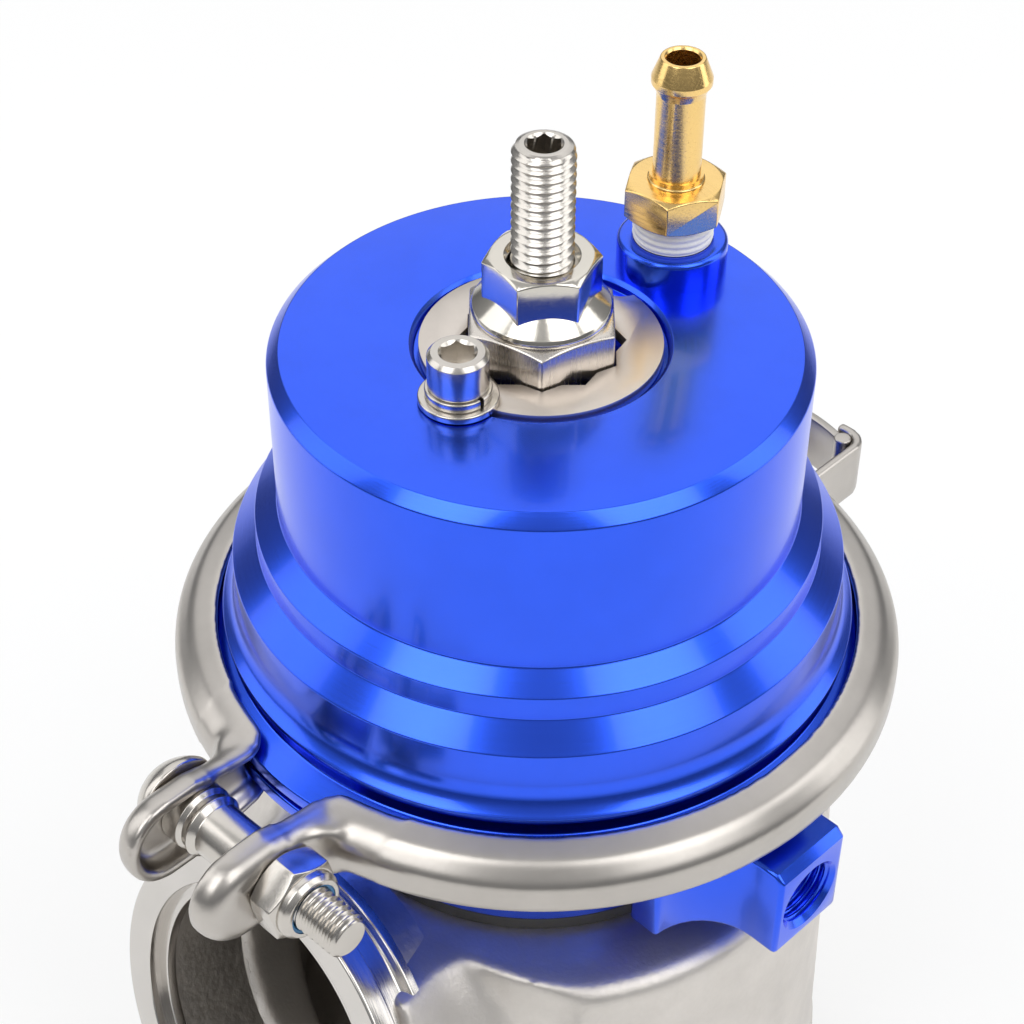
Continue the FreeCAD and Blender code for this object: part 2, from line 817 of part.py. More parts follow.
def cap_cavity():
    roof = cap_roof_under
    bend = cap_bore_corner
    turn = bend * (1 - math.cos(math.radians(45)))
    return turned((0, cap_base - 1), (cap_skirt_radius, cap_base - 1),
                  (cap_skirt_radius, cap_top - cap_skirt_drop), (cap_bore_radius, cap_top - cap_bore_drop),
                  (cap_bore_radius, roof - bend),
                  ((cap_bore_radius - turn, roof - turn), (cap_bore_radius - bend, roof)), (0, roof))


def fitting_boss():
    top = cap_top + boss_height
    boss = turned((0, cap_top - 1), (boss_radius, cap_top - 1), (boss_radius, top - boss_edge),
                  (boss_radius - boss_edge, top), (0, top))
    return moved(boss, 0, boss_offset, 0)


def actuator_cap():
    shell = cap_blank().fuse([rim_section(1), fitting_boss()]).removeSplitter().cut(cap_cavity())
    recess = turned((0, recess_floor), (recess_radius, recess_floor), (recess_radius, cap_top - recess_edge),
                    (recess_radius + recess_edge + 0.5, cap_top + 0.5), (0, cap_top + 0.5))
    pocket = rod(adjuster_pocket_radius, pocket_floor, cap_top)
    thread = rod(adjuster_shank_radius + thread_gap, cap_roof_under - 1, cap_top)
    screw_hole = moved(rod(lock_screw_radius + thread_gap,
                           plate_top + lock_stack() - lock_screw_length - lock_hole_spare, cap_top),
                       *lock_place(), 0)
    fitting = fitting_thread_radius + thread_gap
    boss_top = cap_top + boss_height
    fitting_hole = rod(fitting, boss_top - fitting_thread_depth - 1, boss_top + 1, 0, boss_offset)
    passage = rod(fitting_bore_radius, cap_roof_under - 1, cap_top, 0, boss_offset)
    return shell.cut([recess, pocket, thread, screw_hole, fitting_hole, passage])


# Adjuster and stop stud

def preload_adjuster():
    hex_low = pocket_floor + adjuster_lift
    corner = adjuster_flat / math.sqrt(3)
    head = hexagon(adjuster_flat, hex_low, adjuster_hex_top, adjuster_corner_angle)
    broken = turned((0, hex_low), (corner + 1, hex_low), (corner + 1, adjuster_hex_top - adjuster_edge * 2),
                    (corner - adjuster_edge, adjuster_hex_top), (0, adjuster_hex_top))
    shank = rod(adjuster_shank_radius, adjuster_end, hex_low + 1)
    groove_mid = cap_top - oring_drop
    groove = tube(adjuster_shank_radius - oring_wire, adjuster_shank_radius + 1,
                  groove_mid - oring_wire * 0.6, groove_mid + oring_wire * 0.6)
    solid = head.common(broken).fuse(shank).removeSplitter().cut(groove)
    return solid.cut(rod(stud_radius + thread_gap, adjuster_end - 1, adjuster_hex_top + 1))


def adjuster_oring():
    middle = adjuster_shank_radius + thread_gap - oring_wire / 2
    return Part.makeTorus(middle, oring_wire / 2, point(0, 0, cap_top - oring_drop))


def stop_stud():
    low = stud_tip - stud_length
    bend = stud_end * 0.3
    solid = turned((0, low), (stud_radius - stud_end, low), (stud_radius, low + stud_end),
                   (stud_radius, stud_tip - stud_end),
                   ((stud_radius - bend, stud_tip - bend), (stud_radius - stud_end, stud_tip)), (0, stud_tip))
    return solid.cut(hexagon(stud_socket, stud_tip - stud_socket_depth, stud_tip + 1, 15.0))


def stud_flange_nut():
    low = adjuster_hex_top
    slope_top = low + flange_nut_skirt
    skirt = turned((0, low), (flange_nut_radius, low), (flange_nut_radius, low + flange_nut_edge),
                   (flange_nut_flat / 2, slope_top), (0, slope_top))
    nut = topped_hexagon(flange_nut_flat, low, flange_nut_top, flange_nut_corner_angle)
    bore = stud_radius + thread_gap
    sink = flange_nut_sink
    drill = turned((0, low - 1), (bore, low - 1), (bore, flange_nut_top - sink),
                   (bore + 2 * sink, flange_nut_top + sink), (0, flange_nut_top + sink))
    return nut.fuse(skirt).removeSplitter().cut(drill)


# Locking plate, screw and washers

def lock_place():
    place = polar(lock_screw_circle, lock_screw_angle)
    return place.x, place.y


def lock_stack():
    return lock_flat_washer_height + lock_spring_washer_height


def lock_plate():
    flat = adjuster_flat + 2 * star_gap
    plate = rod(plate_radius, recess_floor, plate_top)
    cutters = [hexagon(flat, recess_floor - 1, plate_top + 1, adjuster_corner_angle + turn) for turn in (0, 30)]
    for angle in scallop_angles:
        place = polar(scallop_circle, angle)
        cutters.append(rod(scallop_radius, recess_floor - 1, plate_top + 1, place.x, place.y))
    plate = plate.cut(cutters)
    return plate.makeFillet(scallop_corner, edges_where(plate, is_scallop_corner))


def is_scallop_corner(edge):
    """Upright edges where a scallop meets the plate's rim."""
    middle = edge.BoundBox.Center
    upright = edge.BoundBox.ZLength > plate_thickness * 0.9
    outward = math.hypot(middle.x, middle.y) > plate_radius - 0.05
    beside = abs(middle.x) < abs(middle.y)
    return upright and outward and beside


def lock_screw():
    screw = socket_screw(lock_screw_radius, lock_screw_length, lock_screw_head_radius, lock_screw_head_height,
                         lock_screw_socket, lock_screw_socket_depth)
    return moved(screw, *lock_place(), plate_top + lock_stack())


def lock_flat_washer():
    return tube(lock_screw_radius + running_gap, lock_flat_washer_radius, plate_top,
                plate_top + lock_flat_washer_height, *lock_place())


def lock_spring_washer():
    low = plate_top + lock_flat_washer_height
    x, y = lock_place()
    ring = tube(lock_screw_radius + running_gap, lock_spring_washer_radius, low, low + lock_spring_washer_height, x, y)
    half = lock_spring_washer_split / 2
    side = x + lock_spring_washer_radius + 1
    return ring.cut(block(x, side, y - half, y + half, low - 1, low + lock_spring_washer_height + 1))


# Hose fitting

def hose_barb():
    thread_low = cap_top + boss_height - fitting_thread_depth
    hex_low = cap_top + boss_height + fitting_gap_height
    hex_top = hex_low + fitting_hex_height
    tube_top = hex_top + fitting_tube_length
    tip = tube_top + barb_length
    lead = fitting_thread_lead
    foot = fitting_tube_foot
    barb_top = tube_top + barb_rise
    bend = foot * (1 - math.cos(math.radians(45)))
    stem = turned((0, thread_low), (fitting_thread_radius - lead, thread_low),
                  (fitting_thread_radius, thread_low + lead), (fitting_thread_radius, hex_low + lead),
                  (fitting_tube_radius + foot, hex_low + lead), (fitting_tube_radius + foot, hex_top),
                  ((fitting_tube_radius + bend, hex_top + bend), (fitting_tube_radius, hex_top + foot)),
                  (fitting_tube_radius, tube_top), (barb_radius - barb_edge, barb_top - barb_edge),
                  (barb_radius, barb_top), (barb_radius, barb_top + barb_land), (barb_tip_radius, tip), (0, tip))
    nut = topped_hexagon(fitting_hex_flat, hex_low, hex_top, fitting_hex_angle)
    solid = stem.fuse(nut).removeSplitter().cut(rod(fitting_bore_radius, thread_low - 1, tip + 1))
    return moved(solid, 0, boss_offset, 0)


def thread_tape():
    low = cap_top + boss_height
    return tube(fitting_thread_radius + press_gap, fitting_thread_radius + tape_thickness, low,
                low + fitting_gap_height, 0, boss_offset)


# Band clamp

def band_section():
    """The clamp's channel: two sloping legs and a web, with rounded corners, on the mid-plane."""
    wall = clamp_wall
    slope = math.radians(rim_slope)
    inner_mouth = clamp_mouth_half - wall / math.cos(slope)
    web_inner = clamp_radius - wall
    inner_leg = inner_mouth - (web_inner - clamp_mouth_radius) * math.tan(slope)
    web_half = clamp_leg_half - clamp_corner
    bend = 0.29
    corner = (clamp_radius - (clamp_radius - clamp_leg_radius) * bend, clamp_leg_half - clamp_corner * bend)
    mid = split_height
    return turned((clamp_mouth_radius, mid + inner_mouth), (clamp_mouth_radius, mid + clamp_mouth_half),
                  (clamp_leg_radius, mid + clamp_leg_half),
                  ((corner[0], mid + corner[1]), (clamp_radius, mid + web_half)),
                  (clamp_radius, mid - web_half),
                  ((corner[0], mid - corner[1]), (clamp_leg_radius, mid - clamp_leg_half)),
                  (clamp_mouth_radius, mid - clamp_mouth_half), (clamp_mouth_radius, mid - inner_mouth),
                  (web_inner, mid - inner_leg), (web_inner, mid + inner_leg))


def ear_plan(inset, x0, x1):
    """The ear's outline, a strip with a round end, extruded along the bolt."""
    half = ear_half_height - inset
    end = -(ear_reach - ear_half_height)
    strip = block(x0, x1, end, -ear_start, split_height - half, split_height + half)
    nose = Part.makeCylinder(half, x1 - x0, point(x0, end, split_height), point(1, 0, 0))
    return strip.fuse(nose).removeSplitter()


def ear():
    back = ear_gap_half + ear_cup_depth
    cup = ear_plan(0, ear_gap_half, back)
    return cup.makeFillet(ear_wall * 0.8, edges_where(cup, is_ear_back))


def is_ear_back(edge):
    box = edge.BoundBox
    return box.XMin > ear_gap_half + ear_cup_depth - 0.01 and box.YMin < -ear_start - 0.01


def clamp_half(side):
    """One half of the band clamp: side 1 is at +X, side -1 at -X."""
    wide = clamp_radius + 1
    back = ear_gap_half + ear_cup_depth
    low = split_height - clamp_mouth_half - 1
    high = split_height + clamp_mouth_half + 1
    band = band_section().common(block(ear_gap_half, wide, -wide, wide, low, high))
    solid = band.cut(hinge_clearance()).fuse([ear(), hinge_loop()]).removeSplitter()
    hollow = ear_plan(ear_wall, ear_gap_half - 1, back - ear_wall)
    channel = block(ear_gap_half - 1, back - ear_wall, -ear_start - ear_mouth / 3, -ear_start + ear_mouth * 2 / 3,
                    split_height - ear_half_height + ear_wall, split_height + ear_half_height - ear_wall)
    hole_radius = clamp_bolt_radius + (clamp_hole_gap if side > 0 else bolt_hole_gap)
    hole = Part.makeCylinder(hole_radius, back + 1, point(0, -clamp_bolt_offset, split_height), point(1, 0, 0))
    solid = solid.cut([hollow, channel, hole, flange_clearance()])
    if side < 0:
        solid = solid.mirror(ORIGIN, point(1, 0, 0))
    return spun(solid, clamp_turn)


def flange_clearance():
    """The space of the two flanges, so that the ear's root stays clear of them."""
    half = rim_edge_half + part_gap * 2
    return rod(rim_radius + part_gap, split_height - half, split_height + half)


def hinge_loop():
    """A hairpin of strip with an upright axis, open towards the clamp, with a slot for the link."""
    low = split_height - hinge_half_height
    high = split_height + hinge_half_height
    outer = hinge_pin_radius + part_gap + hinge_strip
    inner = hinge_pin_radius + part_gap
    x = hinge_pin_spacing
    y = hinge_offset
    eye = tube(inner, outer, low, high, x, y).cut(block(x - outer - 1, x + outer + 1, y - outer - 1, y, low, high))
    near_leg = block(x - outer, x - inner, y - hinge_leg, y, low, high)
    far_leg = block(x + inner, x + outer, clamp_radius - hinge_leg_root, y, low, high)
    loop = eye.fuse([near_leg, far_leg]).removeSplitter()
    slot = block(0, x - inner + part_gap, y - link_half_width - part_gap, y + link_half_width + part_gap,
                 split_height - hinge_slot_half, split_height + hinge_slot_half)
    return loop.cut(slot)


def hinge_clearance():
    """Trims the band's end square, clear of the hairpin's near leg."""
    edge = hinge_pin_spacing + hinge_pin_radius + part_gap
    half = clamp_mouth_half + 1
    return block(-1, edge, 0, clamp_radius + 1, split_height - half, split_height + half)


def hinge_link():
    """A strip with a pin at each end, which joins the two halves."""
    low = split_height - hinge_half_height
    high = split_height + hinge_half_height
    pins = [rod(hinge_pin_radius, low, high, side * hinge_pin_spacing, hinge_offset) for side in (-1, 1)]
    strip = block(-hinge_pin_spacing, hinge_pin_spacing, hinge_offset - link_half_width,
                  hinge_offset + link_half_width, split_height - link_half_height, split_height + link_half_height)
    return spun(strip.fuse(pins).removeSplitter(), clamp_turn)


def along_bolt(shape):
    """Moves a piece built up the Z axis to the clamp bolt's axis, pointing along +X, then turns it with the clamp."""
    placed = shape.copy()
    placed.rotate(ORIGIN, point(0, 1, 0), 90)
    placed.translate(point(0, -clamp_bolt_offset, split_height))
    return spun(placed, clamp_turn)


def clamp_bolt():
    back = ear_gap_half + ear_cup_depth
    head_low = -back - clamp_bolt_head_height
    lead = clamp_bolt_lead
    solid = turned((0, head_low), ((clamp_bolt_head_radius * 0.72, head_low + clamp_bolt_head_height * 0.33),
                                   (clamp_bolt_head_radius, -back - clamp_bolt_head_edge)),
                   (clamp_bolt_head_radius, -back), (clamp_bolt_radius, -back),
                   (clamp_bolt_radius, clamp_bolt_reach - lead), (clamp_bolt_radius - lead, clamp_bolt_reach),
                   (0, clamp_bolt_reach))
    return along_bolt(solid)


def clamp_spacer():
    """A stepped sleeve on the bolt, its collar against the inside of the left ear."""
    low = -(ear_gap_half + ear_cup_depth - ear_wall)
    bore = clamp_bolt_radius + running_gap
    step = low + spacer_collar_width
    return along_bolt(turned((bore, low), (spacer_collar_radius, low), (spacer_collar_radius, step),
                             (spacer_radius, step), (spacer_radius, spacer_end), (bore, spacer_end)))


def clamp_lock_nut():
    low = ear_gap_half + ear_cup_depth
    hex_top = low + clamp_nut_hex_height
    top = low + clamp_nut_height
    edge = clamp_nut_collar_edge
    hexed = topped_hexagon(clamp_nut_flat, low, hex_top, clamp_nut_corner_angle)
    collar = turned((0, hex_top - 1), (clamp_nut_collar_radius, hex_top - 1), (clamp_nut_collar_radius, top - edge),
                    (clamp_nut_collar_radius - edge, top), (0, top))
    bore = rod(clamp_bolt_radius + thread_gap, low - 1, top + 1)
    pocket = rod(insert_radius + running_gap, top - insert_recess - insert_height, top + 1)
    return along_bolt(hexed.fuse(collar).removeSplitter().cut([bore, pocket]))


def nylon_insert():
    top = ear_gap_half + ear_cup_depth + clamp_nut_height - insert_recess
    return along_bolt(tube(clamp_bolt_radius + thread_gap, insert_radius, top - insert_height, top))


def pieces():
    return {
        "valve_body": valve_body(),
        "valve_seat": valve_seat(),
        "poppet_valve": poppet_valve(),
        "stem_guide": stem_guide(),
        "stem_seal": stem_seal(),
        "seal_circlip": seal_circlip(),
        "insulator_gasket": insulator_gasket(),
        "lower_housing": lower_housing(),
        "housing_screws": housing_screws(),
        "diaphragm": diaphragm(),
        "diaphragm_piston": diaphragm_piston(),
        "diaphragm_washer": diaphragm_washer(),
        "stem_nut": stem_nut(),
        "outer_spring": outer_spring(),
        "inner_spring": inner_spring(),
        "upper_spring_seat": upper_spring_seat(),
        "actuator_cap": actuator_cap(),
        "preload_adjuster": preload_adjuster(),
        "adjuster_oring": adjuster_oring(),
        "stop_stud": stop_stud(),
        "stud_flange_nut": stud_flange_nut(),
        "lock_plate": lock_plate(),
        "lock_flat_washer": lock_flat_washer(),
        "lock_spring_washer": lock_spring_washer(),
        "lock_screw": lock_screw(),
        "hose_barb": hose_barb(),
        "thread_tape": thread_tape(),
        "clamp_half_right": clamp_half(1),
        "clamp_half_left": clamp_half(-1),
        "hinge_link": hinge_link(),
        "clamp_bolt": clamp_bolt(),
        "clamp_spacer": clamp_spacer(),
        "clamp_lock_nut": clamp_lock_nut(),
        "nylon_insert": nylon_insert(),
    }


os.makedirs("parts", exist_ok=True)
for node, shape in pieces().items():
    shape.exportStep("parts/" + node + ".step")
    print(node, "solids", len(shape.Solids), "valid", shape.isValid(), "volume", round(shape.Volume, 1))
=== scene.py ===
import bpy
import math
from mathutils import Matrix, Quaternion, Vector


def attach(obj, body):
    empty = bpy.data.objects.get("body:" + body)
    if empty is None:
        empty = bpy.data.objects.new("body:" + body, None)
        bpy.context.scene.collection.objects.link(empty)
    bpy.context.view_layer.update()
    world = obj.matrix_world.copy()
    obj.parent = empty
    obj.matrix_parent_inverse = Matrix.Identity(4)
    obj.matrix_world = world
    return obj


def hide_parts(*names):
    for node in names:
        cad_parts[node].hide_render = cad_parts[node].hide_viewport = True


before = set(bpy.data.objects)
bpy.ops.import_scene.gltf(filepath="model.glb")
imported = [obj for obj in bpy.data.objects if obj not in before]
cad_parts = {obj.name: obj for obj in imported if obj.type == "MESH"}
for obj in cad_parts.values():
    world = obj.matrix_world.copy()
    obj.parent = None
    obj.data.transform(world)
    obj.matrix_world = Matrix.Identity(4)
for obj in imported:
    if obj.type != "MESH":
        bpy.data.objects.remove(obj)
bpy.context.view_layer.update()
print("frame loaded")

# Everything is drawn in millimetres and made metres at the end.
# The origin is the centre of the inlet flange's face, +Z up the valve, -Y the outlet's side.
metre = 0.001
deck = 73.0  # the casting's top
split = 101.5  # where the two shells meet, in the middle of the clamp
capTop = 150.0
outletAt = (0, -55.0, 57.0)  # the centre of the outlet flange's face
outletTilt = 13.5  # degrees that it looks upwards
boltOut = 56.0  # from the valve's axis to the clamp bolt's
bandTurn = 1.2  # the whole clamp is turned this far about the valve's axis


# Drawing helpers

def only(obj):
    bpy.ops.object.select_all(action="DESELECT")
    obj.select_set(True)
    bpy.context.view_layer.objects.active = obj
    return obj


def arc(start, middle, end, steps=10):
    # points of the circle through three points, the first left out
    a, b, c = Vector(start), Vector(middle), Vector(end)
    d = 2 * (a.x * (b.y - c.y) + b.x * (c.y - a.y) + c.x * (a.y - b.y))
    sa, sb, sc = a.length_squared, b.length_squared, c.length_squared
    centre = Vector(((sa * (b.y - c.y) + sb * (c.y - a.y) + sc * (a.y - b.y)) / d,
                     (sa * (c.x - b.x) + sb * (a.x - c.x) + sc * (b.x - a.x)) / d))
    radius = (a - centre).length
    first = math.atan2(a.y - centre.y, a.x - centre.x)
    half = math.atan2(b.y - centre.y, b.x - centre.x)
    last = math.atan2(c.y - centre.y, c.x - centre.x)
    sweep = (last - first) % math.tau
    if (half - first) % math.tau > sweep:
        sweep -= math.tau
    return [(centre.x + radius * math.cos(first + sweep * k / steps),
             centre.y + radius * math.sin(first + sweep * k / steps)) for k in range(1, steps + 1)]


def rounded(corners, ring=False, steps=4):
    # corners are (x, y) or (x, y, radius); a radius turns the corner into an arc
    points = []
    count = len(corners)
    for i, corner in enumerate(corners):
        here = Vector(corner[:2])
        if len(corner) < 3 or not (ring or 0 < i < count - 1):
            points.append(here)
            continue
        before = Vector(corners[i - 1][:2]) - here
        after = Vector(corners[(i + 1) % count][:2]) - here
        angle = before.angle(after)
        reach = min(corner[2] / math.tan(angle / 2), 0.45 * before.length, 0.45 * after.length)
        radius = reach * math.tan(angle / 2)
        middle = here + (before.normalized() + after.normalized()).normalized() * radius / math.sin(angle / 2)
        start = here + before.normalized() * reach - middle
        end = here + after.normalized() * reach - middle
        turn = start.angle_signed(end)
        for k in range(steps + 1):
            a = -turn * k / steps
            points.append(middle + Vector((start.x * math.cos(a) - start.y * math.sin(a),
                                           start.x * math.sin(a) + start.y * math.cos(a))))
    return points


def chain(name, points, close, upright=True):
    # one vertex, drawn out point by point, in the XZ plane or in the XY plane
    bpy.ops.object.select_all(action="DESELECT")
    bpy.ops.mesh.primitive_plane_add(size=1, location=(0, 0, 0))
    obj = bpy.context.object
    obj.name = name
    spread = (lambda p: (p[0], 0, p[1])) if upright else (lambda p: (p[0], p[1], 0))
    bpy.ops.object.mode_set(mode="EDIT")
    bpy.ops.mesh.select_all(action="SELECT")
    bpy.ops.mesh.merge(type="CENTER")
    bpy.ops.transform.translate(value=spread(points[0]))
    path = list(points) + (list(points[:1]) if close else [])
    for here, there in zip(path, path[1:]):
        step = (there[0] - here[0], there[1] - here[1])
        bpy.ops.mesh.extrude_region_move(TRANSFORM_OT_translate={"value": spread(step)})
    bpy.ops.mesh.select_all(action="SELECT")
    return obj


def tidyMesh(gap=0.0008):
    bpy.ops.mesh.select_all(action="SELECT")
    bpy.ops.mesh.remove_doubles(threshold=gap)
    bpy.ops.mesh.normals_make_consistent(inside=False)
    bpy.ops.object.mode_set(mode="OBJECT")


def lathe(name, corners, ring=False, steps=128):
    obj = chain(name, rounded(corners, ring), ring)
    bpy.ops.mesh.spin(steps=steps, angle=math.tau, center=(0, 0, 0), axis=(0, 0, 1))
    tidyMesh()
    return obj


def prism(name, outline, low, high):
    # a closed outline in the XY plane, filled and drawn up
    obj = chain(name, outline, True, upright=False)
    bpy.ops.mesh.remove_doubles(threshold=0.0008)
    bpy.ops.mesh.edge_face_add()
    bpy.ops.transform.translate(value=(0, 0, low))
    bpy.ops.mesh.extrude_region_move(TRANSFORM_OT_translate={"value": (0, 0, high - low)})
    tidyMesh()
    return obj


def box(name, x0, x1, y0, y1, z0, z1):
    bpy.ops.object.select_all(action="DESELECT")
    bpy.ops.mesh.primitive_cube_add(size=1, location=((x0 + x1) / 2, (y0 + y1) / 2, (z0 + z1) / 2),
                                    scale=(x1 - x0, y1 - y0, z1 - z0))
    obj = bpy.context.object
    obj.name = name
    bpy.ops.object.transform_apply(location=True, rotation=True, scale=True)
    return obj


def rod(name, radius, low, high, x=0.0, y=0.0, sides=96, corner=None):
    bpy.ops.object.select_all(action="DESELECT")
    turn = 0 if corner is None else math.radians(corner - 90)
    bpy.ops.mesh.primitive_cylinder_add(vertices=sides, radius=radius, depth=high - low,
                                        location=(x, y, (low + high) / 2), rotation=(0, 0, turn))
    obj = bpy.context.object
    obj.name = name
    bpy.ops.object.transform_apply(location=True, rotation=True, scale=True)
    return obj


def put(obj, move=(0, 0, 0), axis="Z", degrees=0.0):
    only(obj)
    obj.rotation_euler["XYZ".index(axis)] = math.radians(degrees)
    obj.location = move
    bpy.ops.object.transform_apply(location=True, rotation=True, scale=True)
    return obj


def atOutlet(obj):
    # from an axis along Z, with the flange's face at z = 0, to the outlet
    return put(obj, outletAt, "X", 90 - outletTilt)


def alongBolt(obj):
    # from an axis along Z to the clamp bolt's, with z = 0 between the ears
    return put(put(obj, (0, -boltOut, split), "Y", 90), degrees=bandTurn)


def modify(obj, kind, **settings):
    only(obj)
    modifier = obj.modifiers.new("step", kind)
    for key, value in settings.items():
        setattr(modifier, key, value)
    bpy.ops.object.modifier_apply(modifier=modifier.name)
    return obj


def combine(obj, tool, operation="DIFFERENCE"):
    modify(obj, "BOOLEAN", object=tool, operation=operation, solver="EXACT")
    bpy.data.objects.remove(tool)
    return obj


def joined(first, *others):
    only(first)
    for other in others:
        other.select_set(True)
    bpy.ops.object.join()
    return first


def soften(obj, width, segments=2, degrees=35.0):
    return modify(obj, "BEVEL", width=width, segments=segments, limit_method="ANGLE",
                  angle_limit=math.radians(degrees), use_clamp_overlap=False)


def skinned(obj, voxel, smoothing):
    # one closed skin over everything in the mesh, with its corners blended
    only(obj)
    modify(obj, "REMESH", mode="VOXEL", voxel_size=voxel, adaptivity=0.0)
    return modify(obj, "SMOOTH", factor=0.5, iterations=smoothing)


def relax(obj, test, repeat):
    # smooths only the points that pass the test
    only(obj)
    obj.data.vertices.foreach_set("select", [test(v.co) for v in obj.data.vertices])
    bpy.context.tool_settings.mesh_select_mode = (True, False, False)
    bpy.ops.object.mode_set(mode="EDIT")
    bpy.ops.mesh.vertices_smooth(factor=0.5, repeat=repeat)
    bpy.ops.object.mode_set(mode="OBJECT")


def hexHead(name, flat, low, high, corner, slope=30.0, both=False, edge=0.12):
    # a hexagon whose corners are turned off by a cone
    reach = flat / math.sqrt(3)
    start = flat / 2 * 0.97
    drop = (reach + 1 - start) * math.tan(math.radians(slope))
    obj = rod(name, reach, low, high, sides=6, corner=corner)
    foot = [(0, low), (start, low), (reach + 1, low + drop)] if both else [(0, low), (reach + 1, low)]
    cone = lathe("cone", foot + [(reach + 1, high - drop), (start, high), (0, high)])
    combine(obj, cone, "INTERSECT")
    return soften(obj, edge, degrees=25)


def threadRod(name, radius, depth, pitch, low, high, sides=48):
    # a wound thread, cut square at both ends
    waves = 8
    tooth = [(radius - depth * (0.5 + 0.5 * math.cos(math.tau * k / waves)) ** 0.8, pitch * k / waves)
             for k in range(waves + 1)]
    obj = chain(name, tooth, False)
    bpy.ops.object.mode_set(mode="OBJECT")
    turns = math.ceil((high - low) / pitch) + 3
    modify(obj, "SCREW", axis="Z", angle=math.tau, screw_offset=pitch, iterations=turns, steps=sides,
           render_steps=sides, use_smooth_shade=False)
    put(obj, (0, 0, low - 2 * pitch))
    bpy.ops.object.mode_set(mode="EDIT")
    bpy.ops.mesh.select_all(action="SELECT")
    bpy.ops.mesh.remove_doubles(threshold=0.001)
    bpy.ops.mesh.bisect(plane_co=(0, 0, low), plane_no=(0, 0, 1), use_fill=True, clear_inner=True)
    bpy.ops.mesh.select_all(action="SELECT")
    bpy.ops.mesh.bisect(plane_co=(0, 0, high), plane_no=(0, 0, 1), use_fill=True, clear_outer=True)
    tidyMesh(0.0004)
    return obj


# Materials

def linear(code):
    values = [int(code[i:i + 2], 16) / 255 for i in (0, 2, 4)]
    return [v / 12.92 if v <= 0.04045 else ((v + 0.055) / 1.055) ** 2.4 for v in values] + [1.0]


def add(tree, kind, settings=None, feeds=None):
    made = tree.nodes.new("ShaderNode" + kind)
    for key, value in (settings or {}).items():
        if isinstance(key, int) or key in made.inputs:
            made.inputs[key].default_value = value
        else:
            setattr(made, key, value)
    for key, socket in (feeds or {}).items():
        tree.links.new(socket, made.inputs[key])
    return made


def surface(name, colour, rough, metallic=1.0, grain=None, rings=None, tone=0.06, outlet=False,
            stretch=(1, 1, 1), **principled):
    # grain: (size in mm, depth in mm). rings: (width in mm, depth in mm), the marks of a lathe tool.
    # tone: how far the colour wanders. outlet: the lathe's axis is the outlet's.
    material = bpy.data.materials.new(name)
    material.use_nodes = True
    tree = material.node_tree
    shader = tree.nodes["Principled BSDF"]
    shader.inputs["Metallic"].default_value = metallic
    for key, value in principled.items():
        shader.inputs[key.replace("_", " ")].default_value = value
    place = add(tree, "TexCoord")
    shift = add(tree, "Mapping", {"vector_type": "TEXTURE"}, {"Vector": place.outputs["Object"]})
    if outlet:
        shift.inputs["Location"].default_value = [v * metre for v in outletAt]
        shift.inputs["Rotation"].default_value = (math.radians(90 - outletTilt), 0, 0)
    shift.inputs["Scale"].default_value = (metre, metre, metre)  # one unit of texture space is a millimetre
    inMillimetres = shift.outputs["Vector"]
    drawn = add(tree, "VectorMath", {"operation": "MULTIPLY", 1: stretch}, {0: inMillimetres})
    broad = add(tree, "TexNoise", {"Scale": 0.11, "Detail": 4.0, "Roughness": 0.6},
                {"Vector": drawn.outputs["Vector"]})
    height = None
    roughFeed = broad.outputs["Fac"]
    if grain:
        fine = add(tree, "TexNoise", {"Scale": 1 / grain[0], "Detail": 3.0, "Roughness": 0.55},
                   {"Vector": drawn.outputs["Vector"]})
        height = add(tree, "Bump", {"Distance": grain[1] * metre, "Strength": 1.0},
                     {"Height": fine.outputs["Fac"]})
        roughFeed = add(tree, "Math", {"operation": "MULTIPLY_ADD", 1: 0.5, 2: 0.25},
                        {0: fine.outputs["Fac"]}).outputs["Value"]
    if rings:
        parts = add(tree, "SeparateXYZ", {}, {"Vector": inMillimetres})
        flat = add(tree, "CombineXYZ", {}, {"X": parts.outputs["X"], "Y": parts.outputs["Y"]})
        radius = add(tree, "VectorMath", {"operation": "LENGTH"}, {0: flat.outputs["Vector"]})
        lines = add(tree, "CombineXYZ", {}, {"X": radius.outputs["Value"], "Y": parts.outputs["Z"]})
        tool = add(tree, "TexNoise", {"noise_dimensions": "2D", "Scale": 1 / rings[0], "Detail": 2.0,
                                      "Roughness": 0.7}, {"Vector": lines.outputs["Vector"]})
        feeds = {"Height": tool.outputs["Fac"]}
        if height:
            feeds["Normal"] = height.outputs["Normal"]
        height = add(tree, "Bump", {"Distance": rings[1] * metre, "Strength": 1.0}, feeds)
        roughFeed = tool.outputs["Fac"]
    if height:
        tree.links.new(height.outputs["Normal"], shader.inputs["Normal"])
    spread = add(tree, "MapRange",
                 {"From Min": 0.25, "From Max": 0.75, "To Min": rough[0], "To Max": rough[1]},
                 {"Value": roughFeed})
    tree.links.new(spread.outputs["Result"], shader.inputs["Roughness"])
    base = linear(colour)
    low = [c * (1 - tone) for c in base[:3]] + [1.0]
    high = [min(c * (1 + tone), 1.0) for c in base[:3]] + [1.0]
    mix = add(tree, "Mix", {"data_type": "RGBA"})
    mix.inputs[6].default_value = low
    mix.inputs[7].default_value = high
    wander = add(tree, "MapRange", {"From Min": 0.3, "From Max": 0.7}, {"Value": broad.outputs["Fac"]})
    tree.links.new(wander.outputs["Result"], mix.inputs[0])
    tree.links.new(mix.outputs[2], shader.inputs["Base Color"])
    return material


# cast stainless, sand-blasted: a soft sheen with a fine grain
castSteel = surface("stainlessCastSkin", "D6D1CB", (0.4, 0.56), grain=(0.6, 0.05), tone=0.06)
# cast stainless as it left the core: coarser and uneven
castBore = surface("stainlessCastBore", "D4CFC9", (0.3, 0.5), grain=(1.4, 0.12), tone=0.12)
